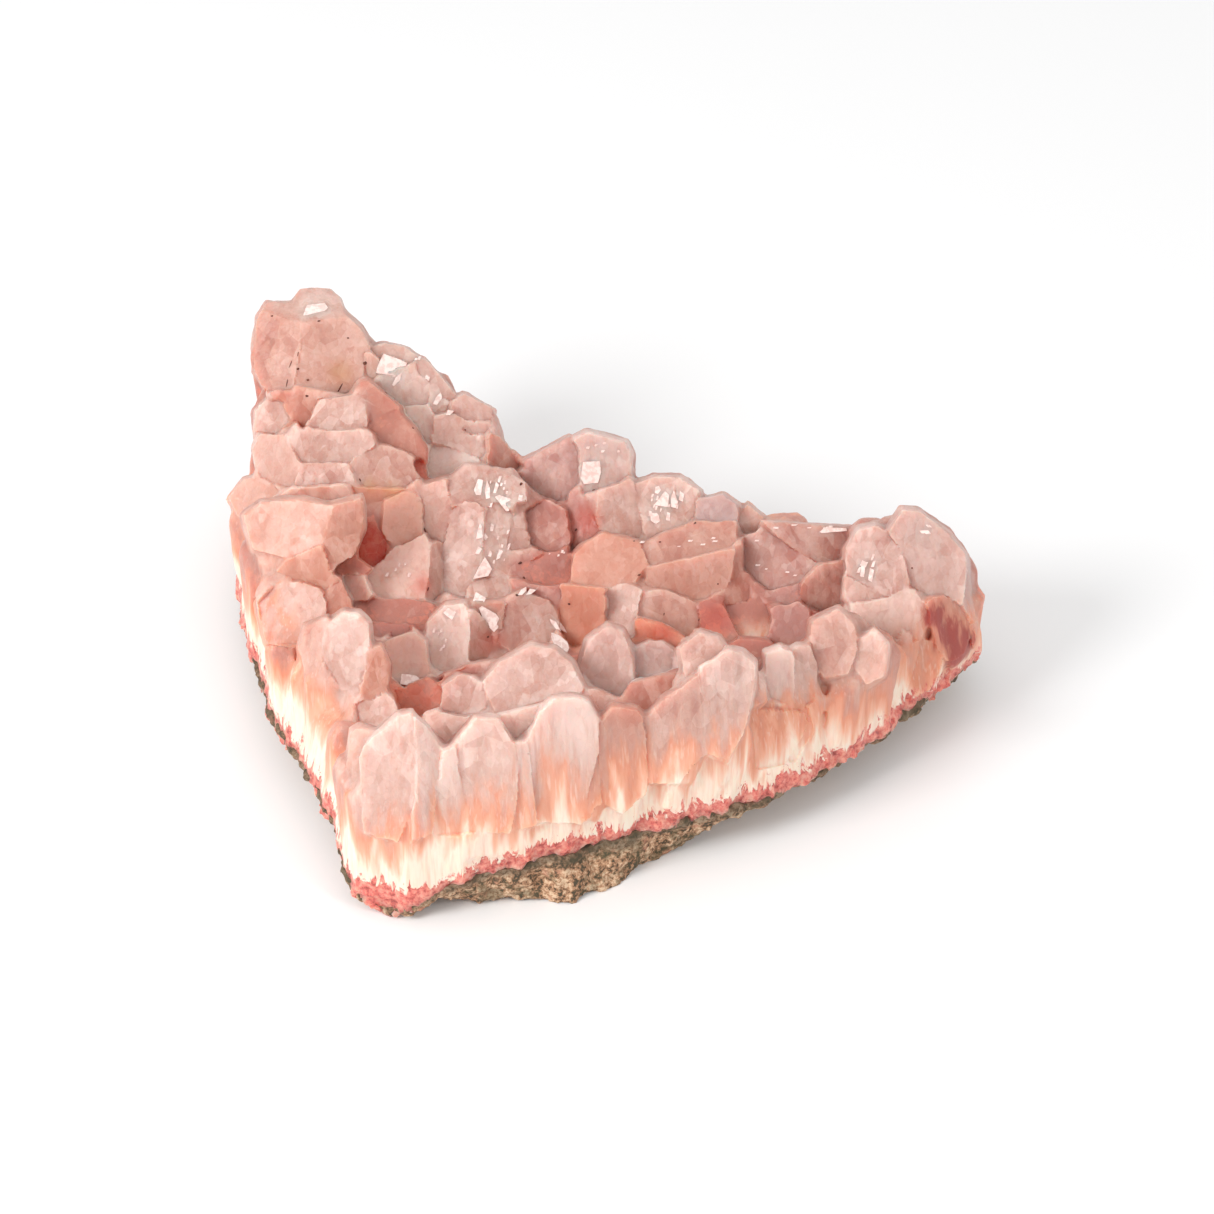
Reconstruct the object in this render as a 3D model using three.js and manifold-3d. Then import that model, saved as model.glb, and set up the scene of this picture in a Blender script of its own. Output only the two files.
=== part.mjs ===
// A hand specimen of pink heulandite: one crust of intergrown tabular crystals, broken
// from the wall of a cavity, with the thin skin of basalt that it grew on.
//
// Millimetres, +Z up. The specimen stands on the flat of the basalt at z = 0, its long
// broken edge towards -Y and its tallest crystals at the back left (-X, +Y).
//
// Two solids:
//   heulandite_crust  the core of upright columns with every crystal grown onto it
//   basalt_matrix     the rock skin under the crust, which touches the ground

import * as THREE from "three";
import { ConvexGeometry } from "three/addons/geometries/ConvexGeometry.js";
import { mergeVertices } from "three/addons/utils/BufferGeometryUtils.js";
import Module from "manifold-3d";

const wasm = await Module();
wasm.setup();

// ---------------------------------------------------------------- driving dimensions

const CRUST_BASE = 7.5; // height of the crust's underside over the ground
const CORNER_DIP = 6.2; // how far the underside comes down at the front left corner
const CORNER_DIP_RADIUS = 7;
const FACE_GAP = 0.35; // clearance between the crust and the basalt
const ROOT_DEPTH = 6.5; // crystal tips stand about this far over the core
const CORE_LEAST = 5; // the core's least thickness
const CORE_WALL = 0.45; // where the core's side wall ends, as a share of the tips' height
const ROOT_INSET = 1; // crystals start this far over the underside
const TIP_SPREAD = 3; // within this distance a crystal's height counts in full
const FLUTES = 44; // shallow hollows around the broken side wall
const FLUTE_DEPTH = 0.9; // the deepest of them
const FLUTE_LEAST = 0.3; // the shallowest, as a share of the deepest
const OUTLINE_STEPS = 2 * FLUTES; // one point on each crest and one in each hollow
const SKY = 60; // above every tip
const SAME_POINT = 1e-4; // corners nearer than this are one corner
const SKIN_THICKNESS = 1.3; // basalt at its thin rim
const LOBE = { x: -3.5, flat: 13, reach: 20, bulge: 3.8, slope: 0.47 }; // thick basalt in front
const RIM_SHARE = 0.985; // the basalt's rim, as a share of the outline
const BASALT_ROUGH = { rim: 0.006, front: 0.5, depth: 0.3 }; // how uneven the basalt's rim is

// Rings around the slabs: the share of the outline's size, and how many of the outline's
// points one of theirs stands for.
const INNER_RING = { share: 0.5, every: 8 };
const OUTER_RING = { share: 0.85, every: 2 };
const RIM_RING = { share: 1, every: 1 };
const BREAK_RING = { share: 1.012, every: 1 }; // the broken faces lean out to this by SKY
const WALL_RING = { share: 0.93, every: 1 }; // the top of the core's wall
const CORE_RING = { share: 0.8, every: 4 };
const FOOT_RING = { share: 0.6, every: 4 }; // the flat foot

// The plan outline of the broken slab, counter-clockwise from the front left corner.
const OUTLINE = [
  [-19, -47], [1.7, -39.2], [21, -31.4], [36, -20], [44, -10.5], [53.5, 2],
  [49, 11.5], [40, 13.5], [29, 16], [16, 19], [6, 25.5], [-2, 28.5],
  [-12.5, 27.5], [-16, 33], [-26, 40.5], [-37, 48], [-46, 49], [-53, 40],
  [-54.2, 27], [-54, 14], [-50.5, 0], [-47, -14], [-42, -24], [-37, -37],
  [-34, -45], [-27, -47.8],
];
const CENTRE = [-8, -5]; // the whole outline is in sight from here
const CORNER = [-29, -46];

// ---------------------------------------------------------------- crystal habits

// How a crystal is drawn in from root to tip: [share of length, of width, of thickness].
const HABITS = {
  block: [[0, 0.75, 0.8], [0.86, 1, 1], [1, 0.76, 0.6]],
  blade: [[0, 0.65, 0.75], [0.7, 1, 1], [1, 0.5, 0.42]],
  dome: [[0, 0.7, 0.75], [0.5, 1, 1], [0.82, 0.82, 0.82], [1, 0.36, 0.42]],
  wedge: [[0, 0.7, 0.75], [0.62, 1, 1], [1, 0.16, 0.32]],
  splinter: [[0, 0.8, 0.8], [0.76, 1, 1], [1, 0.6, 0.55]],
};

// The corners of a crystal's section, as shares of half its width and half its thickness.
const COFFIN = [[1, 0], [0.66, 1], [-0.66, 1], [-1, 0], [-0.66, -1], [0.66, -1]];
const LOZENGE = [[1, 0.35], [-0.55, 1], [-1, -0.35], [0.55, -1]];
const NARROW = 6.5; // crystals up to this width have the plainer section
const FLUSH_BACK = 0.8; // 1 would put every ring's back corners in one plane
const PEAK_FROM = 0.7; // the share of the length above which a crystal's peak is moved

// The parallel growths beside a crystal: how far aside and in front, how much shorter and
// how wide, as shares of the crystal's own sizes, and how many degrees they turn from it.
const GROWTH = { side: [0.3, 0.46], front: [-0.1, 0.36], drop: [0.08, 0.26], wide: [0.4, 0.6],
  thick: 0.72, turn: [-9, 9], slope: [-0.28, 0.28] };

// The upright columns along the broken wall. foot and top are shares of the outline, and
// wide is a share of the pitch.
const COLUMN = { pitch: 9, foot: [0.965, 0.985], top: [0.84, 0.9], inset: 1.5, below: [1, 6],
  wide: [0.9, 1.25], thick: 5, turn: [-15, 15], slope: [-0.3, 0.3] };

// The small crystals between the large ones, on a scattered grid from one corner of the
// plan to the other. thick is a share of the width. They keep away from a large crystal by
// crowd times its width and clear more, and edge keeps them inside the outline.
const FILL = { pitch: 8.4, from: [-52, -46], to: [52, 48], scatter: [-1.8, 1.8], wide: [4, 6.5],
  thick: 0.8, drop: [2, 5], turn: [-40, 50], slope: [-0.3, 0.3], lean: 1.5, inset: 2,
  crowd: 0.42, clear: 1.6, edge: 1.06 };

// The crystals that make the specimen's shape. tip is the middle of the top edge, wide
// and thick are across the broad face and through it, turn is how far the broad face
// looks round from -Y towards +X, lean is how far the tip stands out from the root,
// peak moves the crown sideways, and steps is the number of parallel growths beside it.
const CRYSTALS = [
  // front wall, left to right
  { tip: [-26, -37, 27], wide: 15, thick: 11, turn: -14, lean: [1, 6], habit: "wedge", steps: 2 },
  { tip: [-15.5, -35, 25], wide: 13, thick: 9, turn: 8, lean: [0, 7], habit: "blade", steps: 2 },
  { tip: [-6, -34, 27], wide: 10, thick: 8, turn: 12, lean: [0, 4], habit: "blade", steps: 1 },
  { tip: [1.5, -33, 22], wide: 6, thick: 6, turn: 20, lean: [0, 4], habit: "splinter", steps: 0 },
  { tip: [15.5, -25, 28], wide: 14, thick: 9, turn: 16, lean: [7, 6], habit: "blade", steps: 1 },
  { tip: [22.5, -21, 24], wide: 6, thick: 6, turn: 30, lean: [0, 4], habit: "block", steps: 0 },
  { tip: [25.5, -19.5, 25], wide: 6.5, thick: 6, turn: 20, lean: [1, 4], habit: "wedge", steps: 0 },
  { tip: [31.5, -13, 25], wide: 10, thick: 8, turn: 35, lean: [0, 5], habit: "dome", steps: 1 },
  { tip: [35.8, -14.5, 22], wide: 7, thick: 6, turn: 25, lean: [0, 1], habit: "blade", steps: 0 },
  { tip: [40.5, 7, 27], wide: 16, thick: 14, turn: 15, lean: [-1, 5], habit: "dome", steps: 1 },
  { tip: [46.5, 4.5, 18.5], wide: 7, thick: 8, turn: 40, lean: [-1.5, 4], habit: "blade", steps: 0 },
  { tip: [36.8, 8.5, 25], wide: 10, thick: 10, turn: 0, lean: [0, 3], habit: "dome", steps: 0 },
  // left wall, front to back
  { tip: [-30, -24, 20], wide: 8, thick: 7, turn: -20, lean: [2, 2], habit: "dome", steps: 1 },
  { tip: [-36, -17.5, 27.5], wide: 9, thick: 8, turn: -15, lean: [0, 1], habit: "blade", steps: 1 },
  { tip: [-39.5, -16, 24.5], wide: 5, thick: 6, turn: -25, lean: [0, 1], habit: "wedge", steps: 0 },
  { tip: [-43.5, -3.5, 24], wide: 9, thick: 7, turn: -20, lean: [-1, 1], habit: "block", steps: 1 },
  { tip: [-37, -5, 24], wide: 5.5, thick: 6, turn: -5, lean: [1, 1], habit: "blade", steps: 0 },
  { tip: [-42, 6, 29.5], wide: 14.5, thick: 11, turn: -8, lean: [-1, 1], habit: "block", steps: 2 },
  { tip: [-47, 19, 27], wide: 9.5, thick: 8, turn: -20, lean: [-2, 2], habit: "blade", steps: 1 },
  { tip: [-50.7, 17, 23], wide: 6.5, thick: 6, turn: -35, lean: [-1, 0], habit: "blade", steps: 0 },
  // back left, below the summit
  { tip: [-37.5, 24.5, 34], wide: 9.5, thick: 9, turn: 10, lean: [0, 4], habit: "block", steps: 1 },
  { tip: [-43, 24, 32], wide: 8, thick: 8, turn: -10, lean: [0, 4], habit: "block", steps: 1 },
  { tip: [-47, 31, 30.5], wide: 8, thick: 7, turn: -12, lean: [-1, 2], habit: "block", steps: 0 },
  { tip: [-48.3, 27, 27], wide: 6, thick: 6, turn: -30, lean: [-1, 1], habit: "dome", steps: 0 },
  { tip: [-31, 19, 28], wide: 10, thick: 6, turn: 15, lean: [2, 6], habit: "block", steps: 0 },
  { tip: [-40, 16.5, 29.5], wide: 11, thick: 8, turn: -5, lean: [0, 4], habit: "block", steps: 1 },
  // summit
  { tip: [-46.8, 42.5, 38], wide: 8.5, thick: 10, turn: -12, lean: [-1, 2], habit: "block", steps: 0 },
  { tip: [-42, 44.5, 39.3], wide: 8, thick: 9, turn: 5, lean: [0, 2], habit: "block", steps: 0 },
  { tip: [-40.5, 41, 37], wide: 13, thick: 10, turn: 8, lean: [0, 2], habit: "dome", steps: 0 },
  { tip: [-36, 39, 35.5], wide: 9, thick: 9, turn: 20, lean: [1, 2], habit: "dome", steps: 0 },
  // back rim, left to right
  { tip: [-30.5, 38, 33], wide: 8, thick: 7, turn: 20, lean: [0, 3], habit: "block", steps: 1 },
  { tip: [-26, 36.5, 31], wide: 6.5, thick: 6, turn: 35, lean: [1, 2], habit: "block", steps: 0 },
  { tip: [-23, 33.5, 29], wide: 5, thick: 5, turn: 20, lean: [0, 2], habit: "wedge", steps: 0 },
  { tip: [-19.5, 30.5, 29], wide: 9, thick: 7, turn: 12, lean: [1, 3], habit: "block", steps: 0 },
  { tip: [-15, 26, 25], wide: 8, thick: 7, turn: 30, lean: [1, 2], habit: "dome", steps: 0 },
  { tip: [-8.5, 25, 25.5], wide: 10, thick: 7, turn: -8, lean: [-1, 2], habit: "block", steps: 0 },
  { tip: [-2.5, 24.5, 28.5], wide: 9, thick: 7, turn: 5, lean: [0, 3], habit: "block", steps: 1 },
  { tip: [0.8, 23.5, 27.5], wide: 6.5, thick: 7, turn: 8, lean: [1, 2], habit: "block", steps: 0 },
  { tip: [0.8, 17, 26], wide: 7, thick: 6, turn: 8, lean: [1, 3], habit: "blade", steps: 0 },
  { tip: [6, 19, 24.2], wide: 5, thick: 5, turn: 5, lean: [0, 2], habit: "block", steps: 0 },
  { tip: [10, 18, 25], wide: 6.5, thick: 6, turn: 10, lean: [0, 2], habit: "block", steps: 0 },
  { tip: [15.5, 15.5, 23], wide: 6, thick: 6, turn: 5, lean: [0, 2], habit: "block", steps: 0 },
  { tip: [20, 15, 22], wide: 4, thick: 5, turn: 25, lean: [0, 1], habit: "wedge", steps: 0 },
  { tip: [32.5, 10.5, 22], wide: 7, thick: 5, turn: 5, lean: [9, 0], habit: "blade", steps: 0 },
  { tip: [25, 14, 22], wide: 8, thick: 6, turn: 10, lean: [3, 2], habit: "block", steps: 1 },
  { tip: [29.5, 5.5, 18.5], wide: 7, thick: 5, turn: 10, lean: [8, 1], habit: "blade", steps: 0 },
  // bowl, back to front
  { tip: [-17.5, 17, 27], wide: 11, thick: 8, turn: 6, lean: [0, 8], habit: "block", steps: 1 },
  { tip: [-28.5, 14, 25], wide: 6, thick: 6, turn: 10, lean: [0, 3], habit: "block", steps: 0 },
  { tip: [-24, 15.5, 26], wide: 5, thick: 6, turn: 15, lean: [0, 3], habit: "block", steps: 0 },
  { tip: [-12, 17, 25], wide: 6, thick: 6, turn: 30, lean: [1, 3], habit: "wedge", steps: 0 },
  { tip: [-27.5, 7, 22], wide: 8, thick: 7, turn: -12, lean: [2, 3], habit: "wedge", peak: 0.2, steps: 0 },
  { tip: [-0.5, 7, 23], wide: 12, thick: 9, turn: 10, lean: [2, 5], habit: "dome", steps: 0 },
  { tip: [8.5, 7.5, 23], wide: 10, thick: 7, turn: 15, lean: [1, 4], habit: "dome", steps: 1 },
  { tip: [14.5, 7, 21.5], wide: 7, thick: 6, turn: 20, lean: [1, 3], habit: "block", steps: 0 },
  { tip: [3.5, 1, 20], wide: 7, thick: 6, turn: 10, lean: [0, 3], habit: "block", steps: 0 },
  { tip: [9, 2.5, 20], wide: 8, thick: 6, turn: 15, lean: [1, 3], habit: "block", steps: 1 },
  { tip: [20, 10, 20], wide: 6, thick: 6, turn: 15, lean: [0, 2], habit: "block", steps: 0 },
  { tip: [22.5, 4, 17.5], wide: 8, thick: 6, turn: 25, lean: [2, 2], habit: "block", steps: 0 },
  { tip: [29, -1, 17], wide: 7, thick: 6, turn: 10, lean: [2, 2], habit: "dome", steps: 0 },
  { tip: [15.5, 0, 18], wide: 7, thick: 6, turn: 5, lean: [0, 3], habit: "blade", steps: 0 },
  { tip: [-21.5, -7, 21], wide: 7, thick: 6, turn: 0, lean: [0, 3], habit: "wedge", steps: 0 },
  { tip: [-11, -2, 20], wide: 8, thick: 7, turn: 15, lean: [1, 3], habit: "block", steps: 1 },
  { tip: [-16.3, -4.5, 18.5], wide: 5, thick: 5, turn: 25, lean: [0, 2], habit: "blade", steps: 0 },
  { tip: [-6.5, -7, 17.5], wide: 6, thick: 5, turn: 35, lean: [3, 1], habit: "blade", steps: 0 },
  { tip: [-9.5, 16, 23.5], wide: 7, thick: 6, turn: 10, lean: [0, 3], habit: "block", steps: 0 },
  { tip: [12.8, -10.5, 21], wide: 6, thick: 6, turn: 10, lean: [0, 2], habit: "dome", steps: 0 },
  { tip: [-30.5, -9, 17], wide: 5, thick: 5, turn: -10, lean: [0, 1], habit: "block", steps: 0 },
  { tip: [-27, -13.5, 16.5], wide: 5, thick: 5, turn: 5, lean: [0, 1], habit: "block", steps: 0 },
  { tip: [0.5, -12, 22.5], wide: 8.5, thick: 8, turn: 0, lean: [1, 1], habit: "wedge", peak: 0.1, steps: 0 },
  { tip: [6, -12.5, 20], wide: 7, thick: 6, turn: 10, lean: [0, 1], habit: "dome", steps: 0 },
  { tip: [-9.5, -21, 25], wide: 14, thick: 9, turn: 5, lean: [0, 2], habit: "dome", steps: 1 },
  { tip: [-19, -19.5, 20], wide: 8, thick: 7, turn: 5, lean: [0, 2], habit: "dome", steps: 0 },
  { tip: [11.5, -14.5, 22.5], wide: 6, thick: 6, turn: 5, lean: [0, 1], habit: "blade", steps: 0 },
  { tip: [19, -10, 18.5], wide: 7, thick: 6, turn: 20, lean: [0, 2], habit: "wedge", steps: 0 },
  { tip: [27.5, -9, 19], wide: 7, thick: 6, turn: 30, lean: [0, 2], habit: "dome", steps: 0 },
  { tip: [24, -3, 16.5], wide: 6, thick: 5, turn: 0, lean: [0, 2], habit: "block", steps: 0 },
];

// ---------------------------------------------------------------- small helpers

// A repeatable stream of numbers from 0 to 1.
function seeded(seed) {
  let state = seed >>> 0;
  return () => {
    state = (state + 0x6d2b79f5) >>> 0;
    let t = state;
    t = Math.imul(t ^ (t >>> 15), t | 1);
    t ^= t + Math.imul(t ^ (t >>> 7), t | 61);
    return ((t ^ (t >>> 14)) >>> 0) / 4294967296;
  };
}

const between = (random, low, high) => low + (high - low) * random();

// A closed geometry as a solid that can be joined and cut.
function solidOf(geometry) {
  const bare = geometry.clone();
  bare.deleteAttribute("normal");
  bare.deleteAttribute("uv");
  const merged = mergeVertices(bare, SAME_POINT);
  return new wasm.Manifold(
    new wasm.Mesh({
      numProp: 3,
      vertProperties: new Float32Array(merged.attributes.position.array),
      triVerts: new Uint32Array(merged.index.array),
    }),
  );
}

// A solid as a geometry.
function geometryOf(solid) {
  const { vertProperties, triVerts } = solid.getMesh();
  const geometry = new THREE.BufferGeometry();
  geometry.setAttribute("position", new THREE.BufferAttribute(vertProperties, 3));
  geometry.setIndex(new THREE.BufferAttribute(triVerts, 1));
  geometry.computeVertexNormals();
  return geometry;
}

const joined = (solids) => solids.reduce((sum, solid) => sum.add(solid));

// The solid without the small pockets that crystals close between them.
const withoutPockets = (solid) =>
  solid.decompose().reduce((most, body) => (body.volume() > most.volume() ? body : most));

// ---------------------------------------------------------------- heights over the plan

// Height of the crust's underside.
function baseHeight(x, y) {
  const away = Math.hypot(x - CORNER[0], y - CORNER[1]) / CORNER_DIP_RADIUS;
  return CRUST_BASE - CORNER_DIP * Math.exp(-away * away);
}

// Height of the crystal tips around a point, weighted by nearness.
function tipHeight(x, y) {
  let weights = 0;
  let heights = 0;
  for (const { tip } of CRYSTALS) {
    const away = Math.hypot(x - tip[0], y - tip[1], TIP_SPREAD);
    const weight = 1 / away ** 3;
    weights += weight;
    heights += weight * tip[2];
  }
  return heights / weights;
}

const coreHeight = (x, y) => Math.max(tipHeight(x, y) - ROOT_DEPTH, CRUST_BASE + CORE_LEAST);

function wallHeight(x, y) {
  const base = baseHeight(x, y);
  return base + CORE_WALL * (tipHeight(x, y) - base);
}

// ---------------------------------------------------------------- the slab

// The outline at even steps, every second one pressed in to make the wall's flutes.
function flutedOutline() {
  const corners = OUTLINE.map(([x, y]) => new THREE.Vector3(x, y, 0));
  const curve = new THREE.CatmullRomCurve3(corners, true, "centripetal");
  const random = seeded(11);
  const centre = new THREE.Vector3(...CENTRE, 0);
  return curve.getSpacedPoints(OUTLINE_STEPS).slice(0, OUTLINE_STEPS).map((point, i) => {
    if (i % 2 === 0) return point;
    const depth = FLUTE_DEPTH * between(random, FLUTE_LEAST, 1);
    return point.add(centre.clone().sub(point).setLength(depth));
  });
}

// A point of the outline drawn in towards CENTRE.
const drawnIn = (point, share) => [
  CENTRE[0] + (point.x - CENTRE[0]) * share,
  CENTRE[1] + (point.y - CENTRE[1]) * share,
];

// A closed slab through rings of points, listed from the hub of the underside, out over
// the rim and back to the hub of the top. Each ring's count divides its neighbour's.
function slab(rings) {
  const positions = rings.flat(2);
  const starts = [];
  let count = 0;
  for (const ring of rings) {
    starts.push(count);
    count += ring.length;
  }
  const index = [];
  const growing = (fine, coarse, up) => {
    const [f, c] = [rings[fine].length, rings[coarse].length];
    const every = f / c;
    const add = (i, j, k) => index.push(...(up ? [i, j, k] : [i, k, j]));
    for (let i = 0; i < c; i += 1) {
      const here = starts[coarse] + i;
      const next = starts[coarse] + ((i + 1) % c);
      for (let k = 0; k < every; k += 1)
        add(
          starts[fine] + i * every + k,
          starts[fine] + ((i * every + k + 1) % f),
          here,
        );
      if (c > 1) add(starts[fine] + (((i + 1) * every) % f), next, here);
    }
  };
  for (let r = 1; r < rings.length; r += 1) {
    if (rings[r].length > rings[r - 1].length) growing(r, r - 1, false);
    else growing(r - 1, r, true);
  }
  const geometry = new THREE.BufferGeometry();
  geometry.setAttribute("position", new THREE.Float32BufferAttribute(positions, 3));
  geometry.setIndex(index);
  return geometry;
}

// A ring of the outline's points at a share of its size, lifted by a height function.
function ringOf(outline, { share, every }, height) {
  return outline
    .filter((_, i) => i % every === 0)
    .map((point) => {
      const [x, y] = drawnIn(point, share);
      return [x, y, height(x, y)];
    });
}

// The surface where the crust meets the basalt, from its hub to its rim.
function meetingRings(outline, height) {
  return [
    [[...CENTRE, height(...CENTRE)]],
    ringOf(outline, INNER_RING, height),
    ringOf(outline, OUTER_RING, height),
    ringOf(outline, RIM_RING, height),
  ];
}

// ---------------------------------------------------------------- crystals

// The frame of a crystal that stands on root, ends at tip and turns its broad face.
function crystalFrame(root, tip, turn) {
  const axis = tip.clone().sub(root);
  const length = axis.length();
  axis.normalize();
  const angle = THREE.MathUtils.degToRad(turn);
  const facing = new THREE.Vector3(Math.sin(angle), -Math.cos(angle), 0);
  const across = new THREE.Vector3().crossVectors(facing, axis).negate().normalize();
  const through = new THREE.Vector3().crossVectors(across, axis).normalize();
  return { root, axis, across, through, length };
}

// One crystal: a convex prism, drawn in at its crown. Its back face is upright, and
// slope tips its crown to one side.
function crystalSolid(frame, { wide, thick, habit, section, peak = 0, slope = 0 }) {
  const points = [];
  for (const [up, widthShare, thickShare] of HABITS[habit]) {
    const halfWide = (wide * widthShare) / 2;
    const halfThick = (thick * thickShare) / 2;
    const shift = up > PEAK_FROM ? peak * wide * up : 0;
    for (const [a, b] of section)
      points.push(
        frame.root
          .clone()
          .addScaledVector(frame.axis, up * frame.length + up * slope * a * halfWide)
          .addScaledVector(frame.across, a * halfWide + shift)
          .addScaledVector(frame.through, (b + FLUSH_BACK) * halfThick),
      );
  }
  return solidOf(new ConvexGeometry(points));
}

// A crystal of the list with its parallel growths.
function crystalCluster({ tip, wide, thick, turn, lean, habit, peak, steps }, random) {
  const top = new THREE.Vector3(...tip);
  const root = new THREE.Vector3(tip[0] - lean[0], tip[1] - lean[1], 0);
  root.z = baseHeight(root.x, root.y) + ROOT_INSET;
  const main = crystalFrame(root, top, turn);
  const slope = between(random, ...GROWTH.slope);
  const section = wide > NARROW ? COFFIN : LOZENGE;
  const solids = [crystalSolid(main, { wide, thick, habit, section, peak, slope })];
  for (let i = 0; i < steps; i += 1) {
    const side = (i % 2 === 0 ? 1 : -1) * between(random, ...GROWTH.side) * wide;
    const front = between(random, ...GROWTH.front) * thick;
    const drop = between(random, ...GROWTH.drop) * (top.z - root.z);
    const shift = new THREE.Vector3()
      .addScaledVector(main.across, side)
      .addScaledVector(main.through, front);
    const frame = crystalFrame(
      root.clone().add(shift),
      top.clone().add(shift).addScaledVector(main.axis, -drop),
      turn + between(random, ...GROWTH.turn),
    );
    solids.push(
      crystalSolid(frame, {
        wide: wide * between(random, ...GROWTH.wide),
        thick: thick * GROWTH.thick,
        habit: "splinter",
        section: LOZENGE,
        slope,
      }),
    );
  }
  return joined(solids);
}

// Columns shoulder to shoulder along the wall, leaning in with it, which end below the
// crystals over them.
function wallColumns(outline, random) {
  const rim = new THREE.CatmullRomCurve3(outline, true);
  const count = Math.round(rim.getLength() / COLUMN.pitch);
  return rim.getSpacedPoints(count).slice(0, count).map((point) => {
    const [footX, footY] = drawnIn(point, between(random, ...COLUMN.foot));
    const [tipX, tipY] = drawnIn(point, between(random, ...COLUMN.top));
    const outward = THREE.MathUtils.radToDeg(
      Math.atan2(point.x - CENTRE[0], CENTRE[1] - point.y),
    );
    const root = new THREE.Vector3(footX, footY, baseHeight(footX, footY) + COLUMN.inset);
    const top = tipHeight(tipX, tipY) - between(random, ...COLUMN.below);
    const tip = new THREE.Vector3(tipX, tipY, top);
    const turn = outward + between(random, ...COLUMN.turn);
    const frame = crystalFrame(root, tip, turn);
    root.addScaledVector(frame.through, -COLUMN.thick);
    return crystalSolid(frame, {
      wide: COLUMN.pitch * between(random, ...COLUMN.wide),
      thick: COLUMN.thick,
      habit: "splinter",
      section: LOZENGE,
      slope: between(random, ...COLUMN.slope),
    });
  });
}

// Whether a point of the plan lies inside a ring of points.
function isInside(ring, x, y) {
  let inside = false;
  ring.forEach((a, i) => {
    const b = ring[(i + 1) % ring.length];
    const crosses = a.y > y !== b.y > y;
    if (crosses && x < ((b.x - a.x) * (y - a.y)) / (b.y - a.y) + a.x) inside = !inside;
  });
  return inside;
}

// Whether a listed crystal stands too near for a small one.
function isCrowded(x, y) {
  return CRYSTALS.some(
    ({ tip, wide }) => Math.hypot(tip[0] - x, tip[1] - y) < wide * FILL.crowd + FILL.clear,
  );
}

// Small crystals wherever the listed ones leave the core bare.
function fillCrystals(outline, random) {
  const solids = [];
  for (let gx = FILL.from[0]; gx < FILL.to[0]; gx += FILL.pitch)
    for (let gy = FILL.from[1]; gy < FILL.to[1]; gy += FILL.pitch) {
      const x = gx + between(random, ...FILL.scatter);
      const y = gy + between(random, ...FILL.scatter);
      const turn = between(random, ...FILL.turn);
      const wide = between(random, ...FILL.wide);
      const drop = between(random, ...FILL.drop);
      const [farX, farY] = drawnIn({ x, y }, FILL.edge);
      if (isCrowded(x, y) || !isInside(outline, farX, farY)) continue;
      const tip = new THREE.Vector3(x, y, tipHeight(x, y) - drop);
      const root = new THREE.Vector3(x, y - FILL.lean, baseHeight(x, y) + FILL.inset);
      solids.push(
        crystalSolid(crystalFrame(root, tip, turn), {
          wide,
          thick: wide * FILL.thick,
          habit: "splinter",
          section: LOZENGE,
          slope: between(random, ...FILL.slope),
        }),
      );
    }
  return solids;
}

// ---------------------------------------------------------------- the two pieces

const outline = flutedOutline();

function heulanditeCrust() {
  const core = slab([
    ...meetingRings(outline, baseHeight),
    ringOf(outline, WALL_RING, wallHeight),
    ringOf(outline, CORE_RING, coreHeight),
    ringOf(outline, INNER_RING, coreHeight),
    [[...CENTRE, coreHeight(...CENTRE)]],
  ]);
  const random = seeded(5);
  const crystals = CRYSTALS.map((crystal) => crystalCluster(crystal, random));
  const grown = joined([
    solidOf(core),
    ...crystals,
    ...wallColumns(outline, seeded(23)),
    ...fillCrystals(outline, seeded(42)),
  ]);
  // The specimen was broken out along its outline, straight through the outer crystals.
  const broken = slab([
    ...meetingRings(outline, baseHeight),
    ringOf(outline, BREAK_RING, () => SKY),
    [[...CENTRE, SKY]],
  ]);
  return withoutPockets(grown.intersect(solidOf(broken)));
}

// How much of the thick lobe of basalt there is at a point of the rim, 0 to 1.
function lobeShare(x, y) {
  const away = Math.abs(x - LOBE.x);
  const share = (LOBE.reach - away) / (LOBE.reach - LOBE.flat);
  return y < CENTRE[1] ? THREE.MathUtils.clamp(share, 0, 1) : 0;
}

function basaltMatrix() {
  const topHeight = (x, y) => baseHeight(x, y) - FACE_GAP;
  const random = seeded(7);
  const rough = (size) => between(random, -size, size);
  const rim = outline.map((point) => {
    const share = lobeShare(point.x, point.y);
    const [x, y] = drawnIn(point, RIM_SHARE + rough(BASALT_ROUGH.rim));
    const bulge = LOBE.bulge - LOBE.slope * Math.abs(x - LOBE.x) + rough(BASALT_ROUGH.front);
    const forward = share * bulge;
    const depth = SKIN_THICKNESS + share * CRUST_BASE + rough(BASALT_ROUGH.depth);
    return [x, y - forward, Math.max(0, topHeight(x, y) - depth)];
  });
  const rock = slab([
    [[...CENTRE, 0]],
    ringOf(outline, FOOT_RING, () => 0),
    rim,
    ...meetingRings(outline, topHeight).reverse(),
  ]);
  return solidOf(rock);
}

function piece(name, solid, material) {
  const mesh = new THREE.Mesh(geometryOf(solid), material);
  mesh.name = name;
  return mesh;
}

const heulandite = new THREE.MeshStandardMaterial({
  color: 0xe6b3a6,
  roughness: 0.35,
  metalness: 0,
  flatShading: true,
});
const basalt = new THREE.MeshStandardMaterial({
  color: 0x5e5645,
  roughness: 0.95,
  metalness: 0,
  flatShading: true,
});

const crust = heulanditeCrust();
const matrix = basaltMatrix();

const specimen = new THREE.Group();
specimen.add(piece("heulandite_crust", crust, heulandite));
specimen.add(piece("basalt_matrix", matrix, basalt));

// The middle of the specimen's footprint goes to the origin, with the foot at z = 0.
const { min, max } = crust.add(matrix).boundingBox();
specimen.position.set(-(min[0] + max[0]) / 2, -(min[1] + max[1]) / 2, 0);

export default specimen;
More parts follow.
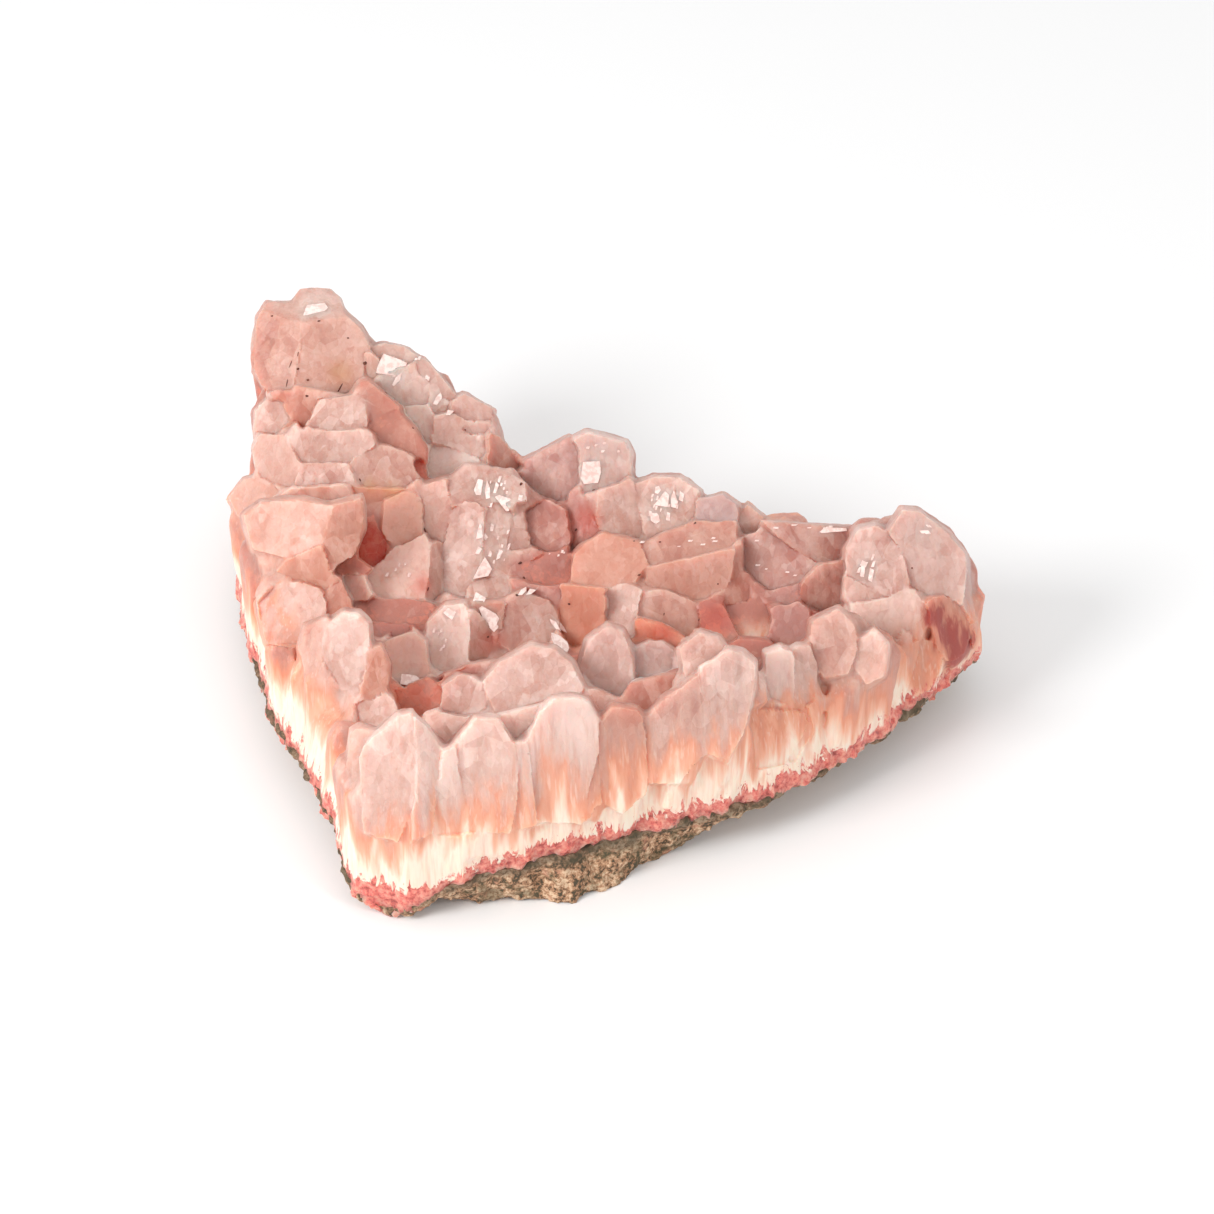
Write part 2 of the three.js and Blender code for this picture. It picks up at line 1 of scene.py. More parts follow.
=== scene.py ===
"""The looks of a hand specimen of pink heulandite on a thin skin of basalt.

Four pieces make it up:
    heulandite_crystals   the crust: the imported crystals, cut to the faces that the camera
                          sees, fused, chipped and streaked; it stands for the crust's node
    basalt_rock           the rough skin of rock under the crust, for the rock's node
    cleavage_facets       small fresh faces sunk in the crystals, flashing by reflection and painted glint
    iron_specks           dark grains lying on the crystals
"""

import functools
import itertools
import math
import random
from typing import Callable, NamedTuple

import bmesh
import bpy
import numpy as np
from mathutils import Matrix, Vector
from mathutils.bvhtree import BVHTree


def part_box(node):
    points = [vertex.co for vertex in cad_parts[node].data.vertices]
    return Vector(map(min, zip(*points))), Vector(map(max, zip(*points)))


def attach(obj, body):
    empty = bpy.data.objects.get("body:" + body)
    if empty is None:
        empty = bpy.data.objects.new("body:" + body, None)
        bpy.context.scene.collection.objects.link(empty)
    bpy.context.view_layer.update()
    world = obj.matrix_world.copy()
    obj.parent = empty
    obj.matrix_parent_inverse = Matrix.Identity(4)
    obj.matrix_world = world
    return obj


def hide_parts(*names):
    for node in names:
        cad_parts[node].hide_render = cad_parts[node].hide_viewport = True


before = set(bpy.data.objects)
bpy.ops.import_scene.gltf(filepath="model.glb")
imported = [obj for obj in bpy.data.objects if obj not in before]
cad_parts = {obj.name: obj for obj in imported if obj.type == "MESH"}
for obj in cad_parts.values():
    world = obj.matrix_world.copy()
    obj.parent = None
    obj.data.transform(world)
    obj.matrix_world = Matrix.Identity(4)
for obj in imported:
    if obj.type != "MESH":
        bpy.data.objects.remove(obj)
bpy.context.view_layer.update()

MM = 0.001
TINY = 0.001 * MM  # points closer than this are one
UP = Vector((0, 0, 1))
RIGHT = Vector((1, 0, 0))

# ------ camera

PHOTO_SIDE = 1214  # pixels
MM_PER_PIXEL = 0.14  # at the middle of the specimen
LENS = 115  # mm, on a sensor this wide:
SENSOR = 36
ELEVATION = math.radians(38)
AIM = Vector((0.0006, -0.0007, 0.016))  # near the middle of the specimen
DISTANCE = LENS * MM_PER_PIXEL * MM * PHOTO_SIDE / SENSOR
VIEW_FROM = Vector((0, -math.cos(ELEVATION), math.sin(ELEVATION)))
VIEW_UP = RIGHT.cross(-VIEW_FROM)
EYE = AIM + VIEW_FROM * DISTANCE
PIXEL_SLOPE = SENSOR / LENS / PHOTO_SIDE


def looking(obj, position, target):
    """Places obj at position with its -Z axis on target."""
    obj.location = position
    obj.rotation_euler = (target - position).to_track_quat("-Z", "Y").to_euler()


def new_object(name, data):
    made = bpy.data.objects.new(name, data)
    bpy.context.scene.collection.objects.link(made)
    return made


def add_camera():
    data = bpy.data.cameras.new("camera")
    data.lens = LENS
    data.sensor_width = SENSOR
    data.clip_start = 0.01
    camera = new_object("camera", data)
    looking(camera, EYE, AIM)
    bpy.context.scene.camera = camera


def pixel_ray(u, v):
    """The direction in which the camera sees a pixel of the photograph."""
    middle = PHOTO_SIDE / 2
    across = RIGHT * (u - middle) * PIXEL_SLOPE
    return (-VIEW_FROM + across + VIEW_UP * (middle - v) * PIXEL_SLOPE).normalized()


def seen(surface, u, v):
    """The point of the surface at a pixel of the photograph."""
    return surface.ray_cast(EYE, pixel_ray(u, v))[0]


def pixels_of(positions):
    """The pixels of the photograph at which points are seen."""
    offset = positions - np.array(EYE)
    scale = offset @ -np.array(VIEW_FROM) * PIXEL_SLOPE
    u = PHOTO_SIDE / 2 + offset[:, 0] / scale
    v = PHOTO_SIDE / 2 - offset @ np.array(VIEW_UP) / scale
    return u, v


add_camera()

# ------ numbers on arrays

CELL_PRIMES = np.array([73856093, 19349663, 83492791])  # keep neighbouring cells apart
SEED_STEP = 2654435761
HASH_FACTOR = 1274126177
LAYER_SHIFT = 17.3  # cells, so that the layers of a noise do not line up
NOISE_GAIN = 1.6  # brings layered noise to about -1 to 1

# The directions in which a chip's width is measured, as columns.
CHIP_SIDES = np.array(((0.9, -0.3, 0.1, 0.6), (0.35, 0.9, -0.2, -0.65), (0.1, 0.2, 0.6, 0.2)))
CHIP_REACH = 0.55  # in cells
CHIP_SHIFT = 0.4
CHIP_LIFT = 0.5
CHIP_TILT = 0.9
CHIP_FALL = 5.0


def cell_random(cells, seed):
    """A random number from 0 to 1 for each lattice cell, made from its place."""
    mixed = cells @ CELL_PRIMES + seed * SEED_STEP
    mixed = (mixed ^ (mixed >> 13)) * HASH_FACTOR & 0xFFFFFFFF
    return (mixed ^ (mixed >> 16)) % 65536 / 65535


def lattice_noise(points, seed):
    """Smooth noise from 0 to 1 at each point, with one lattice cell per unit."""
    cell = np.floor(points).astype(np.int64)
    part = smooth_step(points - cell, 0, 1)
    total = np.zeros(len(points))
    for step in itertools.product((0, 1), repeat=3):
        share = np.prod(np.where(step, part, 1 - part), axis=1)
        total += cell_random(cell + np.array(step), seed) * share
    return total


def layered_noise(points, seed, layers=3):
    """Noise from about -1 to 1, each layer half as wide and half as strong."""
    total = np.zeros(len(points))
    for layer in range(layers):
        noise = lattice_noise(points * 2**layer + LAYER_SHIFT * layer, seed + layer)
        total += (noise - 0.5) / 2**layer
    return total * NOISE_GAIN


def chip_heights(points, seed):
    """Heights from about -1 to 1 made of flat facets, about one for each lattice cell.

    Each cell has a tilted plane that falls off steeply at its rim, and the highest counts.
    """
    cell = np.floor(points).astype(np.int64)
    best = np.full(len(points), -1.0)
    for step in itertools.product((-1, 0, 1), repeat=3):
        near = cell + np.array(step)
        draws = np.array([cell_random(near, seed + i) for i in range(7)]).T * 2 - 1
        offset = points - (near + 0.5 + CHIP_SHIFT * draws[:, :3])
        reach = np.abs(offset @ CHIP_SIDES).max(1)
        height = CHIP_LIFT * draws[:, 6] + CHIP_TILT * (offset * draws[:, 3:6]).sum(1)
        best = np.maximum(best, height - CHIP_FALL * np.maximum(reach - CHIP_REACH, 0))
    return best


def smooth_step(values, low, high):
    share = np.clip((values - low) / (high - low), 0, 1)
    return share * share * (3 - 2 * share)


# ------ mesh helpers


def vectors(mesh, name):
    """The vectors of the vertices, co or normal, as rows."""
    flat = np.empty(len(mesh.vertices) * 3)
    mesh.vertices.foreach_get(name, flat)
    return flat.reshape(-1, 3)


def move_to(mesh, positions):
    mesh.vertices.foreach_set("co", positions.ravel())
    mesh.update()


def store(mesh, name, values):
    """Keeps one number for each vertex, for the material to read."""
    layer = mesh.attributes.new(name, "FLOAT", "POINT")
    layer.data.foreach_set("value", values.astype(np.float32))


def object_from(name, bm):
    """Makes an object of a bmesh, which it frees."""
    mesh = bpy.data.meshes.new(name)
    bm.to_mesh(mesh)
    bm.free()
    return new_object(name, mesh)


def joined_copy(node):
    """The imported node's mesh as a bmesh with its shared corners merged."""
    bm = bmesh.new()
    bm.from_mesh(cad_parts[node].data)
    bmesh.ops.remove_doubles(bm, verts=bm.verts, dist=TINY)
    bm.normal_update()
    return bm


def surface_of(mesh):
    """The mesh as a tree in which rays are cast."""
    bm = bmesh.new()
    bm.from_mesh(mesh)
    tree = BVHTree.FromBMesh(bm)
    bm.free()
    return tree


def applied(obj):
    """Bakes obj's modifiers into its mesh."""
    depsgraph = bpy.context.evaluated_depsgraph_get()
    mesh = bpy.data.meshes.new_from_object(obj.evaluated_get(depsgraph))
    obj.modifiers.clear()
    obj.data = mesh
    return mesh


def fused(obj, voxel):
    """Makes overlapping closed shapes one skin."""
    remesh = obj.modifiers.new("fuse", "REMESH")
    remesh.mode = "VOXEL"
    remesh.voxel_size = voxel
    return applied(obj)


def thinned(obj, triangles):
    """Drops the triangles that add least, down to a number, and shades the rest smoothly."""
    count = sum(len(face.vertices) - 2 for face in obj.data.polygons)
    if count > triangles:
        thin = obj.modifiers.new("thin", "DECIMATE")
        thin.ratio = triangles / count
        applied(obj)
    mesh = obj.data
    mesh.polygons.foreach_set("use_smooth", np.ones(len(mesh.polygons), dtype=bool))
    return mesh


def relaxed(mesh, values, share, rounds):
    """Moves each vertex's values towards the mean of its neighbours' by its own share."""
    pairs = np.empty(len(mesh.edges) * 2, dtype=np.int64)
    mesh.edges.foreach_get("vertices", pairs)
    a, b = pairs.reshape(-1, 2).T
    count = len(mesh.vertices)
    degree = np.maximum(np.bincount(a, minlength=count) + np.bincount(b, minlength=count), 1)
    for _ in range(rounds):
        means = np.empty_like(values)
        for axis in range(3):
            column = values[:, axis]
            total = np.bincount(a, column[b], count) + np.bincount(b, column[a], count)
            means[:, axis] = total / degree
        values = values + (means - values) * share
    return values


TOP_CELL = 0.5 * MM


def local_top(positions, reach):
    """Height of the highest point within reach of each point, seen from above."""
    low = positions[:, :2].min(0)
    spot = ((positions[:, :2] - low) / TOP_CELL).astype(int)
    field = np.zeros(spot.max(0) + 1)
    np.maximum.at(field, (spot[:, 0], spot[:, 1]), positions[:, 2])
    steps = round(reach / TOP_CELL)
    shifts = range(-steps, steps + 1)
    for axis in (0, 1):
        field = np.max([np.roll(field, shift, axis) for shift in shifts], axis=0)
    for axis in (0, 1):
        field = sum(np.roll(field, shift, axis) for shift in shifts) / len(shifts)
    return field[spot[:, 0], spot[:, 1]]


# ------ facts of the crust

CRUST = "heulandite_crust"
MATRIX = "basalt_matrix"
CRUST_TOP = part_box(CRUST)[1].z
FLAT_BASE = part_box(MATRIX)[1].z  # where the rock's top meets the crust, but for the corner
BASE_STEP = 1.5 * MM  # the rim lies at most this far over it
UNDER_SLOPE = -0.6  # a face whose normal's z is less than this looks down
WALL_SLOPE = -0.45  # and one with more than this is a wall
BASE_BLEND = 3 * MM
CHUNK = 20000  # points worked on at a time, to spare memory


def underside_rim():
    """The rim of the crust's underside, in order around its middle."""
    packed = joined_copy(CRUST)
    rim = []
    for edge in packed.edges:
        slopes = sorted(face.normal.z for face in edge.link_faces)
        if len(slopes) == 2 and slopes[0] < UNDER_SLOPE and slopes[1] > WALL_SLOPE:
            rim.extend(vert.co.copy() for vert in edge.verts)
    packed.free()
    low = [point for point in rim if point.z < FLAT_BASE + BASE_STEP]
    middle = sum(low, Vector()) / len(low)
    known = {(round(p.x, 6), round(p.y, 6)): p for p in low}
    return sorted(known.values(), key=lambda p: math.atan2(p.y - middle.y, p.x - middle.x))


RIM = underside_rim()


def way_to_rim(positions):
    """The way from each point to the nearest place on the rim, seen from above."""
    nearest = np.full((len(positions), 2), np.inf)
    for i, point in enumerate(RIM):
        start = np.array(point[:2])
        run = np.array(RIM[(i + 1) % len(RIM)][:2]) - start
        offset = positions[:, :2] - start
        share = np.clip(offset @ run / max(run @ run, TINY**2), 0, 1)
        way = share[:, None] * run - offset
        nearer = (way**2).sum(1) < (nearest**2).sum(1)
        nearest[nearer] = way[nearer]
    return nearest


def rim_distance(positions):
    """How far each point is from the rim, seen from above."""
    return np.hypot(*way_to_rim(positions).T)


def rise_of(positions):
    """Height of each point over the crust's underside, taken from the rim nearby."""
    points = np.array([point[:] for point in RIM])
    base = np.empty(len(positions))
    for first in range(0, len(positions), CHUNK):
        part = slice(first, first + CHUNK)
        gaps = ((positions[part, None, :2] - points[None, :, :2]) ** 2).sum(2)
        weights = 1 / (gaps + BASE_BLEND**2) ** 2
        base[part] = (weights * points[:, 2]).sum(1) / weights.sum(1)
    return positions[:, 2] - base


# ------ what was traced


class Face(NamedTuple):
    """A flat crystal face that stands out in the photograph.

    It looks turn degrees to the right of the camera and climb degrees above the horizon.
    pale runs from -1, brick red, to 1, near white, and warm from -1, lilac, to 1, orange. Each
    face's pale was set to how bright it looks, so it holds painted light and shade with its own
    tone; the reddest, on the floors of hollows, are painted shade as well as deep red.
    The outline is convex, and its corners are pixels of the photograph.
    """

    turn: float
    climb: float
    pale: float
    warm: float
    outline: tuple


FACES = {
    # the summit at the back left
    "summit_tip": Face(10, 60, 0.4, 0.1, (
        (299, 303), (305, 293), (324, 294), (334, 300), (342, 316), (300, 321))),
    "summit_left": Face(-28, 46, -0.15, 0.25, (
        (259, 322), (267, 307), (298, 308), (303, 345), (293, 386), (270, 392), (257, 368))),
    "summit_right": Face(14, 44, 0.2, 0.3, (
        (301, 320), (342, 315), (358, 330), (368, 348), (362, 384), (330, 398), (296, 388))),
    "collar": Face(-4, 30, -0.35, 0.4, (
        (272, 393), (294, 387), (330, 399), (352, 398), (318, 402), (306, 424), (290, 436), (282, 404))),
    "neck": Face(10, 40, -0.65, 0.35, (
        (354, 397), (362, 385), (368, 383), (372, 402), (396, 406), (398, 414), (374, 424), (364, 406))),
    "shoulder_side": Face(-20, 20, 0.0, 0.2, (
        (362, 352), (370, 351), (378, 360), (376, 374), (367, 382), (364, 380))),
    "shoulder_top": Face(12, 58, 0.25, -0.1, (
        (370, 350), (386, 346), (402, 349), (416, 358), (404, 364), (382, 358))),
    "shoulder": Face(5, 28, 0.65, 0.05, (
        (368, 382), (378, 375), (402, 376), (420, 362), (432, 384), (428, 404), (372, 402))),
    "crest_1": Face(22, 44, 0.15, -0.1, (
        (416, 358), (428, 364), (444, 384), (456, 398), (436, 402), (424, 380))),
    "crest_2": Face(18, 50, -0.1, -0.2, (
        (452, 402), (465, 397), (490, 409), (489, 418), (468, 420), (450, 412))),
    "crest_3": Face(12, 18, 0.35, -0.25, (
        (450, 414), (468, 421), (489, 419), (488, 434), (470, 444), (448, 434))),
    "crest_slope": Face(50, 22, -0.1, 0.2, ((486, 432), (500, 442), (521, 466), (506, 478), (488, 462))),
    "crest_dip": Face(10, 40, 0.5, -0.1, (
        (431, 386), (444, 398), (452, 402), (450, 411), (434, 415), (429, 404))),
    # the left limb
    "knob": Face(-25, 35, 0.3, 0.2, (
        (258, 412), (268, 402), (282, 403), (288, 420), (276, 432), (258, 430))),
    "ledge_top": Face(-8, 52, 0.1, -0.1, (
        (318, 402), (354, 398), (363, 406), (366, 424), (338, 430), (308, 424))),
    "ledge_face": Face(-10, 30, 0.25, 0.0, (
        (300, 424), (338, 431), (368, 426), (374, 448), (346, 462), (302, 462), (288, 440))),
    "valley": Face(12, 40, -0.65, 0.35, (
        (368, 426), (396, 412), (412, 430), (424, 448), (424, 462), (412, 460), (398, 449), (375, 446))),
    "valley_foot": Face(20, 30, -1.2, 0.1, (
        (412, 461), (424, 462), (428, 478), (440, 483), (424, 487), (417, 480))),
    "ledge_left": Face(-38, 30, 0.2, 0.2, (
        (262, 436), (286, 438), (300, 464), (290, 486), (262, 478), (256, 450))),
    "nose": Face(12, 34, 0.1, 0.2, (
        (352, 458), (376, 447), (398, 450), (412, 460), (418, 476), (402, 488), (366, 486))),
    "nose_foot": Face(5, 10, -0.1, 0.5, (
        (354, 488), (366, 488), (402, 490), (417, 481), (422, 488), (410, 494), (386, 500), (360, 500))),
    "step": Face(-12, 40, 0.1, 0.1, ((302, 464), (346, 464), (352, 480), (330, 484), (296, 488))),
    "brow": Face(0, 5, 0.6, 0.3, ((272, 499), (300, 486), (342, 484), (352, 498), (320, 502))),
    "boss": Face(-40, 40, 0.4, 0.4, (
        (232, 498), (246, 482), (264, 478), (276, 492), (262, 512), (240, 514))),
    "cheek": Face(-20, 36, 0.25, 0.45, (
        (246, 516), (264, 504), (300, 502), (334, 508), (322, 542), (292, 556), (256, 548))),
    "cheek_side": Face(25, 24, 0.15, 0.45, (
        (334, 508), (360, 500), (360, 530), (350, 556), (330, 570), (322, 544))),
    "cheek_foot": Face(-10, 10, 0.25, 0.5, (
        (292, 558), (322, 546), (332, 572), (326, 592), (296, 580), (280, 570))),
    "left_1": Face(-12, 34, 0.5, 0.3, (
        (260, 604), (276, 588), (300, 582), (320, 588), (330, 602), (324, 626), (302, 642), (268, 642))),
    "left_2": Face(10, 34, -0.4, 0.4, (
        (322, 594), (340, 583), (350, 596), (353, 614), (340, 622), (328, 626))),
    "oval": Face(-16, 24, 0.55, 0.05, (
        (328, 628), (344, 615), (358, 616), (367, 626), (367, 652), (362, 682), (344, 690), (320, 652))),
    "oval_left": Face(-40, 26, 0.0, 0.25, (
        (306, 630), (326, 620), (322, 652), (324, 680), (308, 672), (302, 648))),
    "oval_right": Face(15, 24, 0.25, 0.5, (
        (368, 652), (380, 648), (386, 668), (385, 690), (372, 702), (362, 692))),
    "left_3": Face(-5, 40, 0.2, 0.2, (
        (358, 706), (384, 694), (398, 706), (398, 722), (378, 732), (360, 728))),
    "left_foot": Face(-34, 16, 0.35, 0.3, (
        (352, 734), (360, 730), (378, 734), (362, 750), (362, 788), (348, 770))),
    # the bowl, from the left
    "pit_wall": Face(10, 40, 0.5, 0.6, (
        (386, 500), (410, 494), (424, 504), (420, 534), (402, 546), (384, 536))),
    "pit": Face(0, 50, -1.85, 0.1, (
        (362, 502), (384, 502), (384, 536), (399, 548), (372, 568), (356, 556), (352, 544), (361, 530))),
    "pit_foot": Face(-10, 35, -0.9, 0.3, (
        (340, 562), (352, 556), (372, 568), (366, 574), (344, 574), (333, 572))),
    "sliver": Face(-20, 30, 0.15, 0.2, (
        (422, 488), (446, 482), (452, 498), (444, 542), (430, 542), (422, 520))),
    "fang": Face(-5, 50, 1.0, 0.4, (
        (366, 574), (400, 548), (426, 536), (430, 560), (422, 597), (388, 598), (372, 590))),
    "fang_left": Face(-30, 25, 1.0, 0.3, ((344, 574), (364, 574), (372, 592), (366, 600), (346, 598))),
    "fang_right": Face(62, 20, 0.1, 0.0, (
        (428, 537), (443, 545), (445, 590), (432, 600), (423, 597), (430, 560))),
    "tower_face": Face(-16, 34, 0.3, -0.1, (
        (452, 510), (464, 496), (480, 500), (484, 540), (474, 576), (466, 597), (446, 590), (444, 548))),
    "tower_side": Face(30, 36, 0.65, 0.25, (
        (480, 500), (500, 502), (512, 516), (506, 548), (492, 576), (476, 578), (484, 540))),
    "tower_top": Face(5, 62, 0.15, -0.1, (
        (446, 486), (468, 466), (496, 470), (522, 484), (524, 500), (502, 504), (452, 507))),
    "saddle_1": Face(-5, 52, 0.95, 0.1, (
        (424, 452), (446, 440), (474, 450), (478, 466), (452, 478), (428, 478))),
    "saddle_2": Face(8, 34, 0.4, -0.05, (
        (434, 416), (452, 412), (486, 436), (488, 452), (468, 462), (444, 450), (430, 436))),
    "saddle_3": Face(-14, 42, 1.0, 0.2, ((398, 412), (430, 404), (436, 432), (424, 448), (410, 428))),
    "threshold": Face(0, 58, 0.3, 0.0, (
        (462, 588), (486, 577), (506, 579), (518, 596), (498, 604), (470, 600))),
    "threshold_foot": Face(10, 30, -0.25, 0.25, (
        (474, 602), (506, 604), (500, 642), (492, 638), (482, 616), (474, 611))),
    "lens": Face(-18, 34, 0.95, 0.2, (
        (430, 624), (446, 608), (464, 606), (472, 632), (468, 664), (446, 674), (428, 660))),
    "lens_side": Face(38, 20, 0.35, 0.2, ((472, 612), (482, 618), (492, 640), (484, 668), (468, 666))),
    "slab": Face(14, 32, 0.05, 0.0, (
        (506, 602), (524, 592), (548, 600), (558, 622), (546, 646), (520, 654), (500, 642))),
    "mid_1": Face(0, 40, 1.0, 0.4, (
        (388, 640), (412, 632), (428, 648), (426, 678), (404, 688), (386, 668))),
    "mid_2": Face(-12, 28, 0.45, -0.2, (
        (444, 688), (464, 674), (482, 686), (484, 706), (464, 716), (440, 712))),
    "mid_3": Face(4, 44, -0.3, 0.1, (
        (446, 675), (470, 667), (486, 669), (500, 660), (484, 684), (464, 673))),
    "mid_4": Face(0, 42, 0.6, 0.2, (
        (428, 716), (440, 712), (464, 717), (474, 720), (456, 745), (442, 750), (428, 730))),
    "pool": Face(0, 60, -0.8, 0.2, (
        (352, 602), (400, 600), (432, 606), (424, 622), (380, 620), (356, 616))),
    "pool_front": Face(0, 50, -0.7, -0.1, (
        (356, 618), (424, 623), (429, 628), (427, 646), (412, 631), (388, 638), (374, 648), (368, 626))),
    "crevice": Face(-10, 40, -1.25, 0.4, (
        (386, 691), (404, 689), (426, 680), (442, 690), (439, 712), (426, 714), (400, 722), (398, 706))),
    # the back rim and the middle
    "back_1": Face(-18, 30, -0.3, -0.35, (
        (522, 464), (546, 455), (566, 440), (580, 448), (574, 484), (556, 504), (524, 480))),
    "back_2": Face(10, 24, 0.75, -0.35, (
        (576, 440), (590, 434), (604, 439), (622, 443), (628, 454), (628, 482), (584, 492))),
    "back_3": Face(16, 30, 0.25, 0.0, (
        (600, 492), (628, 478), (636, 496), (642, 520), (638, 540), (612, 542), (598, 526))),
    "gorge": Face(-24, 30, -0.75, -0.1, (
        (573, 488), (584, 494), (598, 494), (597, 526), (604, 536), (586, 545), (572, 561), (568, 516))),
    "tower_gap": Face(22, 36, 0.1, 0.0, (
        (504, 505), (526, 503), (531, 520), (528, 546), (512, 548), (508, 546), (512, 516))),
    "back_4": Face(-8, 40, -0.45, 0.1, (
        (526, 512), (550, 500), (566, 514), (572, 540), (552, 552), (530, 544))),
    "basin": Face(0, 46, -0.88, 0.1, (
        (513, 548), (530, 546), (552, 553), (570, 544), (571, 562), (568, 582), (540, 585), (520, 576))),
    "basin_foot": Face(-8, 40, -0.7, 0.0, (
        (518, 596), (512, 580), (540, 586), (562, 586), (560, 604), (548, 600), (524, 592))),
    "back_5": Face(-6, 34, 0.3, -0.1, (
        (636, 486), (656, 480), (678, 480), (697, 492), (694, 514), (676, 532), (650, 540), (640, 516))),
    "dome_top": Face(-6, 56, -0.15, 0.5, (
        (572, 562), (586, 546), (604, 536), (640, 544), (646, 562), (634, 580), (604, 586), (574, 582))),
    "dome_front": Face(-14, 18, -0.1, 0.6, (
        (562, 586), (604, 588), (608, 606), (604, 626), (588, 642), (572, 646), (560, 628))),
    "ridge_top": Face(10, 52, -0.05, 0.3, (
        (642, 546), (668, 534), (700, 522), (734, 522), (732, 548), (690, 556), (652, 566))),
    "ridge_face": Face(4, 22, 0.05, 0.35, (
        (650, 568), (692, 558), (732, 550), (728, 584), (700, 600), (670, 594), (648, 584))),
    "ridge_end": Face(30, 30, -0.45, 0.3, (
        (734, 548), (744, 541), (746, 570), (769, 592), (760, 599), (724, 605), (702, 599), (729, 584))),
    "cavity": Face(0, 44, -0.88, 0.0, (
        (702, 602), (724, 607), (739, 638), (722, 641), (708, 634), (700, 620))),
    "stub_1": Face(-10, 46, 0.2, 0.1, (
        (606, 592), (624, 584), (640, 592), (636, 616), (632, 636), (612, 636), (604, 612))),
    "stub_2": Face(12, 34, 0.25, 0.3, (
        (642, 596), (668, 588), (692, 602), (700, 620), (684, 638), (660, 626), (638, 618))),
    "stub_gap": Face(5, 36, -1.25, 0.6, (
        (638, 620), (660, 627), (684, 639), (674, 652), (656, 640), (638, 649), (634, 636))),
    "wedge": Face(-8, 30, 0.5, -0.3, (
        (590, 642), (608, 628), (622, 634), (630, 660), (632, 682), (620, 700), (598, 690), (582, 668))),
    "bead": Face(10, 40, 0.6, -0.4, (
        (638, 650), (656, 640), (672, 652), (670, 672), (652, 682), (638, 672))),
    "bead_foot": Face(0, 44, -0.2, 0.3, (
        (622, 702), (633, 684), (652, 684), (672, 674), (687, 680), (664, 702), (646, 712))),
    # the right rim and wing
    "rim_1": Face(-10, 48, 0.0, -0.7, (
        (698, 502), (722, 498), (734, 506), (736, 520), (716, 524), (698, 520))),
    "rim_2": Face(12, 40, 0.0, 0.1, ((738, 520), (748, 508), (760, 518), (756, 532), (744, 532))),
    "rim_3": Face(20, 40, -0.15, -0.1, (
        (764, 522), (800, 528), (848, 528), (852, 540), (846, 556), (818, 562), (790, 546))),
    "rim_4": Face(-15, 34, -0.35, -0.2, (
        (744, 540), (762, 530), (790, 548), (816, 564), (800, 582), (770, 590), (746, 570))),
    "rim_5": Face(8, 16, -0.2, 0.1, (
        (802, 582), (820, 565), (844, 562), (846, 600), (820, 612), (800, 600))),
    "rim_6": Face(-8, 44, -0.5, -0.3, (
        (772, 610), (798, 602), (812, 618), (806, 644), (786, 654), (770, 640))),
    "rim_8": Face(0, 46, -0.65, -0.3, (
        (746, 572), (770, 592), (800, 584), (800, 600), (772, 610), (761, 600))),
    "rim_9": Face(10, 36, -0.7, 0.2, ((800, 602), (820, 613), (838, 611), (815, 624), (812, 618))),
    "rim_10": Face(0, 46, -0.7, 0.2, (
        (724, 652), (740, 640), (766, 642), (785, 655), (766, 657), (754, 665), (742, 654))),
    "rim_7": Face(6, 50, -0.7, 0.2, ((724, 606), (760, 600), (772, 618), (764, 640), (740, 638))),
    "wing_left": Face(-18, 34, 0.1, -0.2, (
        (848, 550), (860, 532), (876, 528), (896, 540), (908, 556), (910, 582), (886, 596), (846, 574))),
    "wing_face": Face(12, 28, 0.25, -0.3, (
        (890, 534), (904, 512), (920, 514), (946, 536), (962, 554), (966, 584), (962, 606), (912, 586))),
    "wing_gap": Face(-8, 30, 0.2, -0.1, ((846, 576), (886, 597), (852, 600), (845, 598))),
    "wing_edge": Face(60, 20, -0.1, -0.8, (
        (963, 556), (967, 584), (964, 606), (978, 628), (981, 650), (972, 636), (960, 606))),
    "wing_wall": Face(42, 14, -0.5, 0.4, (
        (926, 603), (944, 590), (960, 604), (972, 634), (975, 648), (952, 664), (938, 648))),
    "wing_low": Face(-5, 22, 0.8, 0.15, (
        (852, 600), (888, 598), (912, 590), (928, 614), (918, 640), (884, 642), (858, 632))),
    "wing_tooth": Face(-15, 28, 0.5, 0.2, (
        (858, 642), (874, 632), (886, 646), (884, 674), (868, 682), (854, 664))),
    "wing_foot": Face(14, 14, -0.8, 0.8, (
        (887, 648), (918, 642), (930, 642), (942, 664), (928, 688), (900, 696), (884, 676))),
    "gable": Face(-5, 35, 0.0, 0.15, (
        (814, 624), (838, 612), (852, 626), (858, 650), (846, 672), (824, 676), (812, 650))),
    # the front row, from the left: upright faces that run down into the broken wall
    "peak_left": Face(-14, 16, 0.5, 0.1, (
        (362, 750), (398, 718), (411, 715), (415, 742), (412, 800), (398, 840), (366, 830))),
    "peak_right": Face(34, 14, 1.0, 0.1, (
        (412, 716), (426, 730), (441, 752), (438, 790), (430, 830), (412, 840), (415, 742))),
    "front_1": Face(6, 12, 0.65, 0.15, (
        (456, 746), (476, 720), (498, 721), (512, 740), (518, 790), (508, 830), (466, 830))),
    "web_1": Face(14, 10, 0.8, 0.1, (
        (440, 754), (456, 748), (465, 800), (466, 832), (432, 834), (438, 790))),
    "web_2": Face(10, 10, 1.0, -0.15, ((514, 744), (528, 744), (538, 822), (512, 828), (518, 790))),
    "hump": Face(-4, 42, 0.4, -0.1, (
        (484, 684), (502, 664), (532, 648), (552, 651), (568, 664), (582, 690), (562, 700), (500, 714))),
    "hump_foot": Face(4, 40, 1.0, 0.15, (
        (500, 716), (552, 702), (540, 714), (529, 742), (514, 740), (500, 722))),
    "tombstone": Face(14, 6, 1.0, 0.1, (
        (528, 742), (540, 714), (554, 701), (572, 699), (586, 703), (596, 722), (596, 760), (580, 820),
        (538, 820))),
